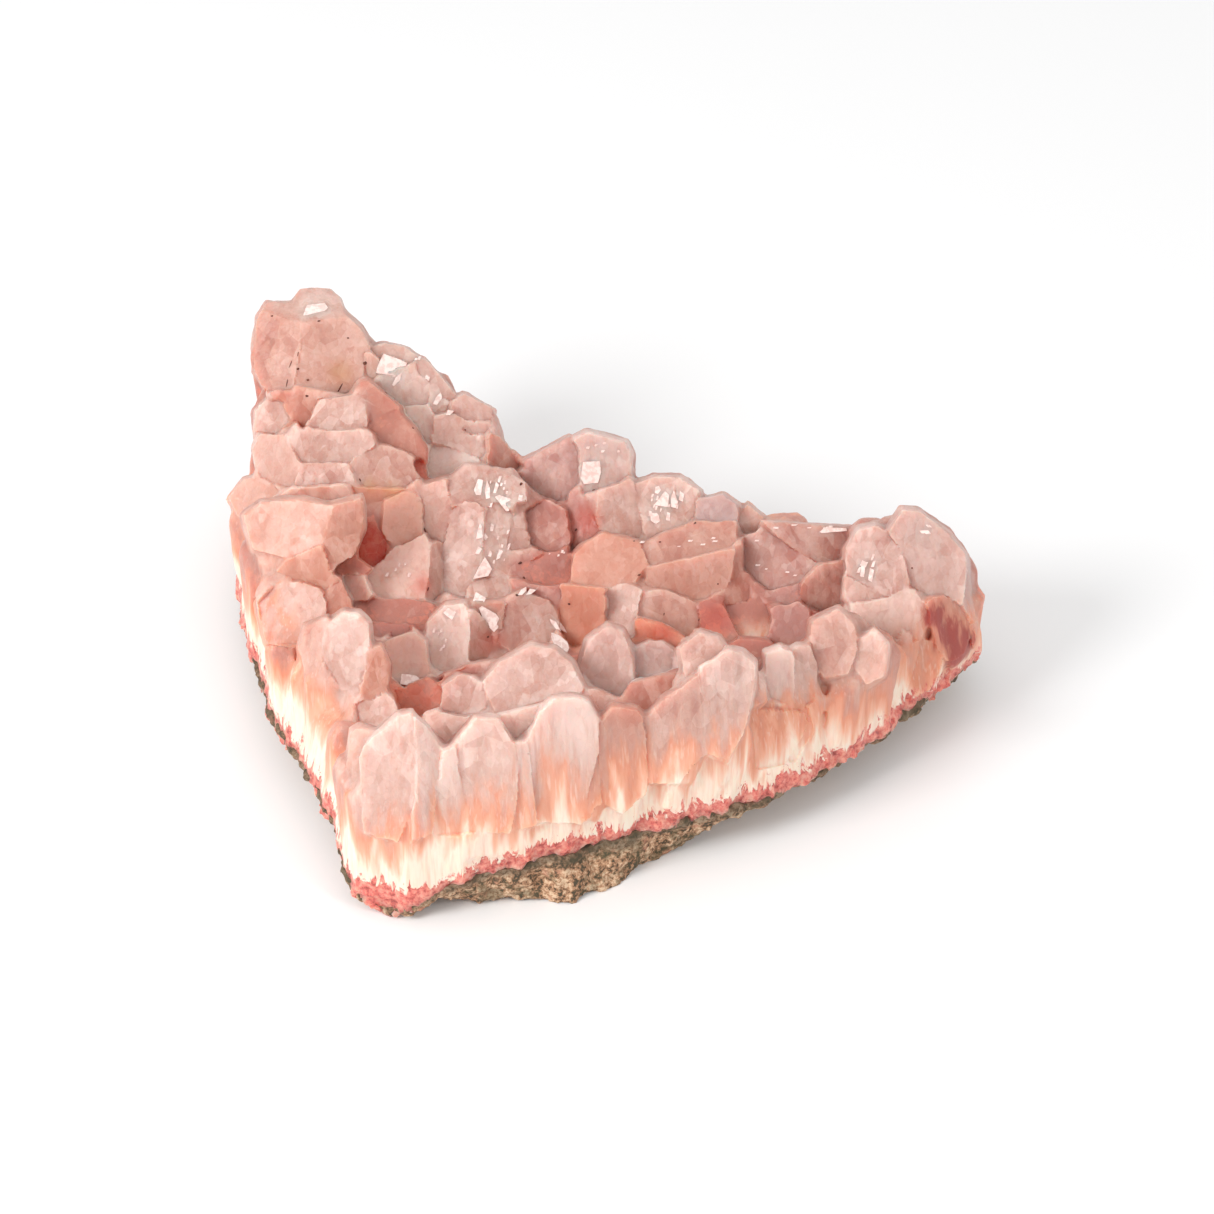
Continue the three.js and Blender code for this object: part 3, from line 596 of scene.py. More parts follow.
    "web_3": Face(16, 10, 0.0, 0.5, ((597, 762), (602, 800), (598, 816), (584, 818), (592, 780))),
    "web_4": Face(10, 46, 0.0, 0.2, (
        (584, 692), (598, 692), (619, 701), (612, 708), (600, 722), (597, 721), (588, 703))),
    "front_2": Face(22, 6, -0.3, 0.4, (
        (600, 724), (612, 708), (636, 712), (648, 730), (644, 790), (622, 810), (602, 800))),
    "sail_left": Face(8, 10, 0.15, 0.1, (
        (642, 724), (664, 702), (698, 676), (702, 700), (708, 740), (690, 780), (652, 780))),
    "sail_right": Face(20, 12, 0.6, 0.0, (
        (700, 668), (728, 652), (742, 655), (753, 666), (751, 690), (742, 730), (728, 760), (704, 750))),
    "sail_back": Face(-8, 48, 0.35, 0.05, (
        (682, 650), (700, 636), (716, 640), (724, 652), (704, 664), (688, 678))),
    "front_3": Face(4, 14, 1.0, 0.0, (
        (766, 656), (780, 650), (793, 656), (795, 690), (782, 720), (770, 700))),
    "front_4": Face(36, 20, 0.3, 0.0, ((795, 650), (808, 648), (814, 668), (812, 700), (796, 710))),
    "front_5": Face(20, 8, -0.8, 0.2, (
        (752, 712), (776, 700), (804, 704), (812, 730), (794, 760), (758, 764))),
}

# Cleavage faces that flash, by reflection and by their pale painted glint, as outlines in pixels of the
# photograph.
GLEAMS = {
    "summit and shoulder": (
        ((303, 316), (307, 305), (325, 303), (328, 308), (318, 316)),
        ((376, 373), (379, 363), (384, 354), (398, 359), (407, 363), (403, 373), (390, 375)),
        ((392, 385), (396, 377), (402, 372), (400, 380), (394, 386)),
        ((433, 404), (436, 397), (441, 392), (442, 398), (437, 405)),
        ((425, 379), (426, 374), (430, 377), (429, 381)),
        ((446, 415), (448, 410), (454, 411), (450, 415)),
    ),
    "tower": (
        ((476, 495), (474, 490), (478, 479), (483, 480), (481, 495)),
        ((486, 499), (485, 490), (487, 480), (490, 488), (490, 498)),
        ((493, 493), (496, 482), (499, 485), (496, 493)),
        ((495, 497), (499, 495), (511, 499), (509, 511), (506, 511), (502, 504)),
        ((518, 500), (519, 495), (523, 495), (522, 501)),
        ((476, 539), (478, 529), (480, 523), (484, 530), (482, 538)),
        ((483, 539), (485, 533), (488, 537), (486, 540)),
        ((490, 531), (491, 523), (494, 525), (493, 531)),
        ((475, 554), (478, 546), (482, 549), (479, 554)),
        ((488, 556), (490, 550), (492, 553), (491, 557)),
        ((496, 560), (499, 549), (503, 551), (500, 558)),
        ((473, 579), (480, 565), (485, 557), (488, 563), (492, 569), (488, 576), (478, 578)),
    ),
    "below the tower": (
        ((473, 601), (476, 592), (486, 598), (484, 602)),
        ((479, 608), (482, 606), (496, 614), (500, 620), (498, 628), (494, 632), (484, 622)),
        ((518, 595), (521, 590), (526, 587), (526, 591), (522, 595)),
        ((526, 595), (530, 589), (536, 590), (531, 594)),
        ((551, 623), (549, 616), (556, 622), (561, 631), (557, 630)),
        ((560, 629), (558, 620), (564, 627), (567, 633)),
        ((551, 637), (552, 633), (560, 636), (567, 642), (569, 648), (565, 656), (556, 648)),
        ((443, 613), (448, 608), (456, 612), (452, 620)),
        ((400, 684), (402, 672), (413, 673), (421, 680), (415, 686)),
    ),
    "back rim": (
        ((581, 478), (583, 462), (600, 461), (601, 472), (598, 483), (584, 484)),
        ((654, 505), (661, 497), (665, 491), (669, 495), (668, 507)),
        ((671, 507), (671, 497), (674, 490), (677, 500), (676, 508)),
        ((679, 500), (680, 491), (684, 494), (683, 502)),
        ((651, 521), (650, 513), (658, 513), (660, 521), (656, 524)),
        ((666, 520), (667, 512), (670, 513), (670, 521)),
        ((655, 493), (655, 487), (659, 486), (661, 490), (658, 494)),
    ),
    "right rim and wing": (
        ((806, 527), (822, 529), (846, 528), (847, 531), (822, 533)),
        ((860, 576), (862, 560), (866, 562), (864, 577)),
        ((868, 580), (870, 568), (874, 570), (872, 582)),
    ),
}


class Sparkles(NamedTuple):
    """A scatter of small cleavage faces, in pixels of the photograph."""

    middle: tuple
    reach: tuple
    count: int
    size: tuple
    slant: float = 1  # how far their sides lean to the right


SPARKLES = {
    "shoulder": Sparkles(middle=(404, 368), reach=(16, 12), count=5, size=(4, 3)),
    "tower top": Sparkles(middle=(506, 492), reach=(16, 14), count=8, size=(3, 5)),
    "tower side": Sparkles(middle=(502, 545), reach=(10, 18), count=8, size=(3, 5)),
    "lens": Sparkles(middle=(440, 636), reach=(8, 16), count=6, size=(3, 5)),
    "fang": Sparkles(middle=(400, 572), reach=(14, 10), count=5, size=(3, 5)),
    "basin": Sparkles(middle=(556, 556), reach=(12, 8), count=4, size=(3, 3)),
    "back rim": Sparkles(middle=(664, 500), reach=(14, 14), count=10, size=(3, 6)),
    "back crest": Sparkles(middle=(600, 446), reach=(20, 6), count=5, size=(4, 3)),
    "ridge": Sparkles(middle=(680, 545), reach=(40, 10), count=6, size=(5, 2)),
    "right rim": Sparkles(middle=(800, 527), reach=(36, 3), count=6, size=(7, 2)),
    "right hollow": Sparkles(middle=(780, 560), reach=(30, 20), count=5, size=(5, 2)),
    "wing left": Sparkles(middle=(866, 568), reach=(9, 14), count=6, size=(3, 7), slant=2),
    "wing top": Sparkles(middle=(926, 528), reach=(7, 6), count=3, size=(6, 4), slant=-3),
}

# ------ flat faces

FACE_PROUD = 0.25 * MM  # a traced face stands this far in front of what carries it
# the dark red of a hollow's floor is painted shade along with the crystals' own deep red
HOLLOW_TONE = -0.85  # a face redder than this is the floor of a hollow
HOLLOW_PROUD = -1.5 * MM
GLEAM_PROUD = 0.06 * MM
LEVEL_RANK = 0.8  # a face lies over this share of what it is laid on
FACE_MARGIN = 2.5  # pixels; what is seen this close to a face's outline belongs to it
FLAT_REACH = 0.4 * MM  # what is this close to a face is moved onto it
TONE_REACH = 0.7 * MM  # and what is this close has its tone
CUT_REACH = 5.5 * MM  # what stands further in front of a face than this is left
HOLLOW_CUT_REACH = 8 * MM
# The body behind a face, from the front: (how far back, how much wider to each side).
FACE_RINGS = ((0, 0.35 * MM), (0.3 * MM, 0.45 * MM), (5.5 * MM, 1.2 * MM))
GLEAM_RINGS = ((0, 0), (0.3 * MM, 0.05 * MM), (1.5 * MM, 0.1 * MM))


class Facet(NamedTuple):
    """A flat face on the crust: all points p of it have p . normal = level."""

    normal: Vector
    level: float
    corners: tuple
    pale: float = 1
    warm: float = 0

    def hollow(self):
        return self.pale <= HOLLOW_TONE

    def ahead(self, ray):
        """How far from the camera a ray meets the facet."""
        return (self.level - EYE.dot(self.normal)) / ray.dot(self.normal)

    def proud(self, positions):
        """How far in front of the facet each point is."""
        return positions @ np.array(self.normal) - self.level


def outside(u, v, corners):
    """How many pixels outside a convex outline each pixel is, or inside if negative."""
    xs, ys = np.array(corners, dtype=float).T
    far = np.full(len(u), -np.inf)
    for i in range(len(corners)):
        x, y = xs[i - 1], ys[i - 1]
        run_x, run_y = xs[i] - x, ys[i] - y
        middle_side = math.copysign(1, run_x * (ys.mean() - y) - run_y * (xs.mean() - x))
        side = run_y * (u - x) - run_x * (v - y)
        far = np.maximum(far, side * middle_side / math.hypot(run_x, run_y))
    return far


def owned(positions, facets):
    """For each facet, whether each point is seen on it."""
    u, v = pixels_of(positions)
    nearest = np.full(len(positions), FACE_MARGIN)
    owner = np.full(len(positions), -1)
    for i, facet in enumerate(facets):
        far = outside(u, v, facet.corners)
        nearer = far < nearest
        nearest[nearer] = far[nearer]
        owner[nearer] = i
    for i, facet in enumerate(facets):
        yield facet, owner == i


def level_on(surface, normal, corners, proud):
    """The level of a facet that fits closest over what the surface has behind it."""
    middle = [sum(axis) / len(corners) for axis in zip(*corners)]
    levels = []
    for u, v in [middle, *corners]:
        point = seen(surface, (u + middle[0]) / 2, (v + middle[1]) / 2)
        if point is not None:
            levels.append(point.dot(normal))
    levels.sort()
    return levels[int(len(levels) * LEVEL_RANK)] + proud


def traced_facets(surface):
    facets = []
    for face in FACES.values():
        turn, climb = math.radians(face.turn), math.radians(face.climb)
        normal = Vector((math.sin(turn), -math.cos(turn), 0)) * math.cos(climb) + UP * math.sin(climb)
        proud = FACE_PROUD if face.pale > HOLLOW_TONE else HOLLOW_PROUD
        level = level_on(surface, normal, face.outline, proud)
        facets.append(Facet(normal, level, face.outline, face.pale, face.warm))
    return settled(facets)


NEIGHBOUR_REACH = 1.3  # a neighbour has a corner in a face's outline, grown by this
NEIGHBOUR_STEP = 4 * MM  # faces further apart than this are left so
LARGEST_SHIFT = 1.8 * MM  # no face is moved further than this for its neighbours


def shared_corners(facet, other):
    """The corners of facet that are seen on other or close to it."""
    middle = np.mean(other.corners, axis=0)
    near = middle + (np.array(other.corners) - middle) * NEIGHBOUR_REACH
    us, vs = np.array(facet.corners, dtype=float).T
    return [facet.corners[i] for i in np.flatnonzero(outside(us, vs, near) < 0)]


def settled(facets):
    """The facets, moved in or out so that neighbours meet where they nearly do already.

    How far ahead a ray meets a facet grows evenly with its level, so the best levels are
    those that solve a set of linear equations. Each facet is asked to stay, and each shared
    corner to be met by both.
    """
    rows, wanted = [], []
    for i, facet in enumerate(facets):
        row = np.zeros(len(facets))
        row[i] = 1 / pixel_ray(*np.mean(facet.corners, axis=0)).dot(facet.normal)
        rows.append(row)
        wanted.append(0)
    for i, j in itertools.permutations(range(len(facets)), 2):
        facet, other = facets[i], facets[j]
        if facet.hollow() or other.hollow():
            continue
        for u, v in shared_corners(facet, other):
            ray = pixel_ray(u, v)
            gap = facet.ahead(ray) - other.ahead(ray)
            if abs(gap) < NEIGHBOUR_STEP:
                row = np.zeros(len(facets))
                row[i] = 1 / ray.dot(facet.normal)
                row[j] = -1 / ray.dot(other.normal)
                rows.append(row)
                wanted.append(-gap)
    shifts = np.linalg.lstsq(np.array(rows), np.array(wanted), rcond=None)[0]
    shifts = np.clip(shifts, -LARGEST_SHIFT, LARGEST_SHIFT)
    return [facet._replace(level=facet.level + shift) for facet, shift in zip(facets, shifts)]


def add_facet(grown, facet, rings):
    """Adds the body behind a facet: it runs back along the line of sight."""
    rays = [pixel_ray(u, v) for u, v in facet.corners]
    front = [EYE + ray * facet.ahead(ray) for ray in rays]
    middle = sum(front, Vector()) / len(front)
    verts = []
    for back, margin in rings:
        for point, ray in zip(front, rays):
            outward = (point - middle).normalized()
            verts.append(grown.verts.new(point + outward * margin + ray * back))
    hull = bmesh.ops.convex_hull(grown, input=verts)
    loose = [item for item in hull["geom_interior"] if isinstance(item, bmesh.types.BMVert)]
    bmesh.ops.delete(grown, geom=loose, context="VERTS")


def cut_back(positions, facets):
    """Moves points that stand a little in front of a traced face back onto it."""
    eye = np.array(EYE)
    for facet, seen_on_it in owned(positions, facets):
        normal = np.array(facet.normal)
        proud = facet.proud(positions)
        reach = HOLLOW_CUT_REACH if facet.hollow() else CUT_REACH
        chosen = seen_on_it & (proud > 0) & (proud < reach)
        rays = positions[chosen] - eye
        share = (facet.level - eye @ normal) / (rays @ normal)
        positions[chosen] = eye + rays * share[:, None]
    return positions


def flattened(positions, facets):
    """Points that nearly lie on a traced face, moved onto it."""
    for facet, seen_on_it in owned(positions, facets):
        proud = facet.proud(positions)
        chosen = seen_on_it & (np.abs(proud) < FLAT_REACH)
        positions[chosen] -= proud[chosen, None] * np.array(facet.normal)
    return positions


# ------ cleavage faces

FILL_PLACE = Vector((0.4, -0.4, 0.5))  # its mirror image is seen in the cleavage faces
GLEAM_TURN = 0.2  # the share by which a cleavage face turns towards that mirror
SPARKLE_SIZES = (0.6, 1.2)  # a small one is between these shares of its scatter's size
SPARKLE_SKEW = 0.45  # how uneven a small one's outline is, as a share of its size


def sparkle_outlines():
    rng = random.Random(8)
    for group in SPARKLES.values():
        for _ in range(group.count):
            size = rng.uniform(*SPARKLE_SIZES) / 2
            middle_u = group.middle[0] + rng.uniform(-1, 1) * group.reach[0]
            middle_v = group.middle[1] + rng.uniform(-1, 1) * group.reach[1]
            corners = []
            for side, end in ((-1, -1), (1, -1), (1, 1), (-1, 1)):
                right = side * group.size[0] * (1 - rng.random() * SPARKLE_SKEW) - end * group.slant
                down = end * group.size[1] * (1 - rng.random() * SPARKLE_SKEW)
                corners.append((middle_u + right * size, middle_v + down * size))
            yield corners


def gleam_facets(surface):
    """Cleavage faces that lie on the surface, turned a little towards the fill light."""
    mirror = (VIEW_FROM + (FILL_PLACE - AIM).normalized()).normalized()
    for corners in itertools.chain(*GLEAMS.values(), sparkle_outlines()):
        hits = [surface.ray_cast(EYE, pixel_ray(u, v)) for u, v in corners]
        if all(hit[0] is not None for hit in hits):
            normal = sum((hit[1] for hit in hits), Vector()).normalized()
            normal = normal.lerp(mirror, GLEAM_TURN).normalized()
            yield Facet(normal, level_on(surface, normal, corners, GLEAM_PROUD), corners)


def gleam_piece(surface):
    """The cleavage faces, each a small body sunk in the crystals."""
    gleams = bmesh.new()
    for facet in gleam_facets(surface):
        add_facet(gleams, facet, GLEAM_RINGS)
    return object_from("cleavage_facets", gleams)


# ------ the crust's form


class Relief(NamedTuple):
    """Bumps on a surface, one to a cell as wide as size."""

    heights: Callable  # gives -1 to 1 for places counted in cells and a seed
    seed: int
    size: float
    height: float
    upright: float = 1  # how many cells stand on each other in one cell's width

    def on(self, positions):
        cells = positions * np.array([1, 1, self.upright]) / self.size
        return self.heights(cells, self.seed) * self.height


COARSE_VOXEL = 0.5 * MM
FINE_VOXEL = 0.3 * MM
CRUST_TRIANGLES = 190000
SHARP_ANGLE = math.radians(24)

# In each pair of values below, an effect begins at the first and is full at the second. An
# EDGE is a distance inward from the rim, and a RISE is a height over the underside.
HOLLOW_REACH = 3.5 * MM  # a hollow is as deep as it lies under what is this close
HOLLOW_FREE = 1.5 * MM  # hollows deeper than this
HOLLOW_FILL = 0.5  # are made shallower by this share
INNER_EDGE = (2.5 * MM, 6 * MM)
INNER_RISE = (3 * MM, 7 * MM)

# The wall is the broken side of the slab.
WALL_EDGE = (5 * MM, 2 * MM)
WALL_DEPTH = 0.8 * MM  # the gaps in the wall deeper than this
WALL_FILL = 0.6  # are made shallower by this share
FILL_EDGE = (5 * MM, 3.5 * MM)
FILL_RISE = (15 * MM, 7 * MM)
SOFTENING = 0.25  # the share by which each vertex nears its neighbours
WALL_SOFTENING = 0.25  # and this much more on the wall
SOFTENING_ROUNDS = 2

STREAKS = Relief(layered_noise, seed=5, size=1.4 * MM, height=0.18 * MM, upright=0.1)
CHIPS = Relief(chip_heights, seed=31, size=2.6 * MM, height=0.16 * MM, upright=0.6)
FINE_CHIPS = Relief(chip_heights, seed=53, size=1.1 * MM, height=0.07 * MM, upright=0.5)
CHIP_PATCHES = Relief(layered_noise, seed=71, size=9 * MM, height=1)
CHIP_BAND = (-0.2, 0.3)  # the patches' heights between which the chips grow to full height
LEAST_CHIPS = 0.35  # the share of it that they have outside the patches

SEAM_RISE = (2.2 * MM, 0.8 * MM)
SEAM_DROP = 0.8 * MM  # how far the seam hangs over the rock
LEFT_DROP = 1.0 * MM  # how much further it does on the left
LEFT_BAND = (-18 * MM, -28 * MM)  # x
SEAM_LUMPS = Relief(layered_noise, seed=9, size=1.1 * MM, height=0.5 * MM)
SEAM_WAVES = Relief(layered_noise, seed=13, size=3 * MM, height=0.6)

TALLEST = CRUST_TOP - 0.2 * MM  # what stands higher than this
TOP_SHARE = 0.1  # keeps this share of the rest


def raised_hollows():
    """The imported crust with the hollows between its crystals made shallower."""
    piece = object_from("heulandite_crystals", joined_copy(CRUST))
    mesh = fused(piece, COARSE_VOXEL)
    positions = vectors(mesh, "co")
    inner = smooth_step(rim_distance(positions), *INNER_EDGE)
    inner *= smooth_step(rise_of(positions), *INNER_RISE)
    depth = local_top(positions, HOLLOW_REACH) - positions[:, 2]
    positions[:, 2] += inner * HOLLOW_FILL * np.maximum(depth - HOLLOW_FREE, 0)
    move_to(mesh, positions)
    return piece


def grow_facets(mesh, facets):
    """Cuts the mesh back to the facets, and adds the bodies behind them."""
    move_to(mesh, cut_back(vectors(mesh, "co"), facets))
    grown = bmesh.new()
    grown.from_mesh(mesh)
    for facet in facets:
        add_facet(grown, facet, FACE_RINGS)
    grown.to_mesh(mesh)
    grown.free()


def softened(mesh, wall, facets):
    """The mesh's positions with the gaps in the wall filled and the edges taken off."""
    positions = vectors(mesh, "co")
    way = way_to_rim(positions)
    edge = np.hypot(*way.T)
    pull = smooth_step(edge, *FILL_EDGE) * smooth_step(rise_of(positions), *FILL_RISE)
    pull *= WALL_FILL * np.maximum(1 - WALL_DEPTH / np.maximum(edge, TINY), 0)
    positions[:, :2] += way * pull[:, None]
    share = SOFTENING + WALL_SOFTENING * wall
    return flattened(relaxed(mesh, positions, share[:, None], SOFTENING_ROUNDS), facets)


def weather(mesh, facets):
    """Softens the fused crystals, and gives the wall its streaks and the seam its lumps."""
    start = vectors(mesh, "co")
    wall = smooth_step(rim_distance(start), *WALL_EDGE)
    seam = smooth_step(rise_of(start), *SEAM_RISE) * wall
    positions = softened(mesh, wall, facets)
    move_to(mesh, positions)
    normals = vectors(mesh, "normal")

    def push(relief, share):
        positions[:] += normals * (relief.on(positions) * share)[:, None]

    push(STREAKS, wall)
    patches = smooth_step(CHIP_PATCHES.on(positions), *CHIP_BAND)
    chipped = (1 - wall) * (LEAST_CHIPS + (1 - LEAST_CHIPS) * patches)
    push(CHIPS, chipped)
    push(FINE_CHIPS, chipped)
    push(SEAM_LUMPS, seam)
    drop = SEAM_DROP + LEFT_DROP * smooth_step(positions[:, 0], *LEFT_BAND)
    positions[:, 2] -= seam * drop * (1 + SEAM_WAVES.on(positions))
    over = np.maximum(positions[:, 2] - TALLEST, 0)
    positions[:, 2] -= over * (1 - TOP_SHARE)
    move_to(mesh, positions)


# ------ what the crust's material reads

DEPTH_REACH = 4 * MM
RIDGE_SHARE = 0.6
RIDGE_ROUNDS = 8
SPREAD_SHARE = 0.9
SPREAD_ROUNDS = 12
LEAST_SPREAD = 0.02
BLUR_SHARE = 0.5
SPOT_BAND = (1.3, 0.2)  # in radii: a spot's colour begins, and is full


class Spot(NamedTuple):
    place: tuple  # the pixel of the photograph that its middle is seen at
    radius: float  # mm


SPOTS = {
    "maroon": (Spot((962, 650), 4.4), Spot((950, 634), 3.8), Spot((936, 616), 2.6)),
    "brick": (
        Spot((425, 585), 2.2),
        Spot((490, 642), 2.4),
        Spot((716, 620), 3.0),
        Spot((586, 520), 2.6),
        Spot((664, 634), 2.0),
    ),
    "ochre": (
        Spot((392, 490), 1.8),
        Spot((370, 486), 1.4),
        Spot((292, 388), 1.6),
        Spot((340, 372), 2.2),
    ),
}


def store_measures(mesh, positions):
    """Keeps how high, how far inward, how sunk and how sharp each place is, in mm."""
    store(mesh, "rise", rise_of(positions) / MM)
    store(mesh, "edge", rim_distance(positions) / MM)
    store(mesh, "depth", (local_top(positions, DEPTH_REACH) - positions[:, 2]) / MM)
    rounded = relaxed(mesh, positions, RIDGE_SHARE, RIDGE_ROUNDS)
    store(mesh, "ridge", ((positions - rounded) * vectors(mesh, "normal")).sum(1) / MM)


def store_tones(mesh, positions, facets):
    """Keeps the tone of the facet that each vertex lies on, or of those next to it."""
    tones = np.zeros((len(positions), 3))
    for facet, seen_on_it in owned(positions, facets):
        on_face = seen_on_it & (np.abs(facet.proud(positions)) < TONE_REACH)
        tones[on_face] = (facet.pale, facet.warm, 1)
    on_any = tones[:, 2:]
    spread = relaxed(mesh, tones, SPREAD_SHARE, SPREAD_ROUNDS)
    spread /= np.clip(spread[:, 2:], LEAST_SPREAD, 1)
    tones = relaxed(mesh, tones * on_any + spread * (1 - on_any), BLUR_SHARE, 1)
    for name, values in zip(("pale", "warm", "traced"), tones.T):
        store(mesh, name, values)


def store_spots(mesh, positions):
    """Keeps how much of each local colour is at each vertex."""
    surface = surface_of(mesh)
    for name, spots in SPOTS.items():
        strength = np.zeros(len(positions))
        for spot in spots:
            middle = np.array(seen(surface, *spot.place))
            far = np.linalg.norm(positions - middle, axis=1) / (spot.radius * MM)
            strength = np.maximum(strength, smooth_step(far, *SPOT_BAND))
        store(mesh, name, strength)


def crust_piece():
    """The crystals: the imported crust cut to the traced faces, fused and weathered."""
    piece = raised_hollows()
    facets = traced_facets(surface_of(piece.data))
    grow_facets(piece.data, facets)
    mesh = fused(piece, FINE_VOXEL)
    move_to(mesh, cut_back(vectors(mesh, "co"), facets))
    weather(fused(piece, FINE_VOXEL), facets)
    mesh = thinned(piece, CRUST_TRIANGLES)
    mesh.set_sharp_from_angle(angle=SHARP_ANGLE)
    positions = vectors(mesh, "co")
    store_measures(mesh, positions)
    store_tones(mesh, positions, facets)
    store_spots(mesh, positions)
    return piece


# ------ materials


class Nodes:
    """Short ways to make and join the nodes of one material."""

    def __init__(self, name):
        self.material = bpy.data.materials.new(name)
        self.material.use_nodes = True
        self.tree = self.material.node_tree
        self.shader = self.tree.nodes["Principled BSDF"]
        self.place = self.tree.nodes.new("ShaderNodeTexCoord").outputs["Object"]

    def fill(self, socket, value):
        """Joins a socket to a value, or sets it."""
        if isinstance(value, bpy.types.NodeSocket):
            self.tree.links.new(value, socket)
        elif isinstance(value, tuple) and len(socket.default_value) == len(value) + 1:
            socket.default_value = (*value, 1)
        else:
            socket.default_value = value

    def node(self, kind, **inputs):
        """A new node; the names of its inputs are written with _ for a space."""
        node = self.tree.nodes.new("ShaderNode" + kind)
        for name, value in inputs.items():
            self.fill(node.inputs[name.replace("_", " ")], value)
        return node

    def number(self, name):
        """A number kept on each vertex."""
        node = self.node("Attribute")
        node.attribute_name = name
        return node.outputs["Fac"]

    def math(self, operation, *values):
        node = self.node("Math")
        node.operation = operation
        for socket, value in zip(node.inputs, values):
            self.fill(socket, value)
        return node.outputs["Value"]

    def sum(self, *values):
        return functools.reduce(functools.partial(self.math, "ADD"), values)

    def product(self, *values):
        return functools.reduce(functools.partial(self.math, "MULTIPLY"), values)

    def vector(self, operation, first, second):
        node = self.node("VectorMath")
        node.operation = operation
        self.fill(node.inputs[0], first)
        self.fill(node.inputs[1], second)
        return node.outputs["Value" if operation == "DOT_PRODUCT" else "Vector"]

    def grid(self, across, up=None):
        """The place counted in cells, with so many for each mm across and each mm up."""
        up = across if up is None else up
        return self.vector("MULTIPLY", self.place, (across / MM, across / MM, up / MM))

    def noise(self, place, detail=3.0, roughness=0.55, distortion=0.0):
        node = self.node("TexNoise", Vector=place, Scale=1, Detail=detail, Roughness=roughness)
        self.fill(node.inputs["Distortion"], distortion)
        return node.outputs["Fac"]

    def cells(self, place):
        """Random cells: a number for each, and the height of its own tilted plane."""
        node = self.node("TexVoronoi", Vector=place, Scale=1)
        lean = self.vector("SUBTRACT", node.outputs["Color"], (0.5, 0.5, 0.5))
        offset = self.vector("SUBTRACT", place, node.outputs["Position"])
        tone = self.vector("DOT_PRODUCT", node.outputs["Color"], (1, 0, 0))
        return tone, self.vector("DOT_PRODUCT", offset, lean)

    def cell_rims(self, place):
        """How far a place is from the rim of its cell."""
        node = self.node("TexVoronoi", Vector=place, Scale=1)
        node.feature = "DISTANCE_TO_EDGE"
        return node.outputs["Distance"]

    def band(self, value, low, high, start=0.0, end=1.0):
        """Smoothly from start to end as the value goes from low to high."""
        node = self.node("MapRange")
        node.interpolation_type = "SMOOTHSTEP"
        for socket, number in zip(node.inputs, (value, low, high, start, end)):
            self.fill(socket, number)
        return node.outputs["Result"]

    def mix(self, share, first, second):
        node = self.node("Mix")
        node.data_type = "RGBA"
        for i, value in ((0, share), (6, first), (7, second)):
            self.fill(node.inputs[i], value)
        return node.outputs[2]

    def ramp(self, value, *stops):
        """A colour for each value; stops are (value, colour)."""
        node = self.node("ValToRGB", Fac=value)
        elements = node.color_ramp.elements
        while len(elements) < len(stops):
            elements.new(0.5)
        for element, (position, color) in zip(elements, stops):
            element.position = position
            element.color = (*color, 1)
        return node.outputs["Color"]

    def bump(self, height, strength, distance):
        return self.node("Bump", Height=height, Strength=strength, Distance=distance).outputs["Normal"]

    def set(self, **inputs):
        """Sets the shader's inputs, written with _ for a space."""
        for name, value in inputs.items():
            self.fill(self.shader.inputs[name.replace("_", " ")], value)


# Colours of the crystals, from the deepest red to near white, and of what is on them; the dark reds also
# paint the shade in hollows and creases.
PIT = (0.54, 0.06, 0.025)
BRICK = (0.70, 0.27, 0.195)
DUSK = (0.46, 0.19, 0.15)
ROSE = (0.57, 0.335, 0.275)
WHITE = (0.78, 0.59, 0.525)
LILAC = (0.52, 0.355, 0.335)
GLOW = (0.70, 0.28, 0.17)
OCHRE = (0.55, 0.28, 0.14)
CREAM = (0.92, 0.75, 0.62)
PEACH = (0.84, 0.45, 0.31)
ORANGE = (0.74, 0.30, 0.18)
RUST = (0.55, 0.20, 0.13)
MAROON = (0.34, 0.05, 0.04)
CRIMSON = (0.68, 0.16, 0.13)
SALMON = (0.82, 0.34, 0.26)
# near-white colours of the cleavage faces: a painted glint
PAINTED_GLINT_PINK = (0.80, 0.57, 0.51)
PAINTED_GLINT_WHITE = (0.93, 0.76, 0.70)

STONE_IOR = 1.5
PALE_START = 2.0  # a tone of minus this is at the start of the ramp,
PALE_RANGE = 3.2  # and its end is this much paler
CLIMB_RANGE = 16.0  # mm; the ramp of the broken wall is this high


def crystal_color(n, wall, tones):
    """Milky rose, paler at the crowns and edges, brick red in the crevices: painted highlight and
    painted shade.

    Off the traced faces it darkens with depth, as painted shade. tones are further small changes.
    """
    # painted shade: off the traced faces, the deeper a place lies under its surroundings, the darker
    painted_depth_shade = n.product(n.number("depth"), n.band(n.number("traced"), 0.0, 1.0, -0.1, 0.0))
    cloud = n.noise(n.grid(0.16), 3)
    pale = n.sum(
        n.number("pale"),
        painted_depth_shade,
        n.band(cloud, 0.3, 0.7, -0.2, 0.2),
        # painted highlight and painted shade: convex edges are paler, concave creases darker
        n.band(n.number("ridge"), -0.12, 0.12, -0.12, 0.12),
        *tones,
    )
    share = n.math("DIVIDE", n.math("ADD", pale, PALE_START), PALE_RANGE)
    stops = ((0.0, PIT), (0.23, BRICK), (0.34, DUSK), (0.44, DUSK), (0.625, ROSE), (0.94, WHITE))
    color = n.ramp(share, *stops)
    low_wall = n.product(wall, n.band(n.number("rise"), 17.0, 7.0, 0.0, 0.45))
    warm = n.sum(n.number("warm"), low_wall)
    color = n.mix(n.band(warm, 0.0, 1.0, 0.0, 0.85), color, GLOW)
    color = n.mix(n.band(warm, 0.0, -1.0), color, LILAC)
    color = n.mix(n.product(n.number("brick"), 0.5), color, PIT)
    return n.mix(n.product(n.number("ochre"), 0.6), color, OCHRE)


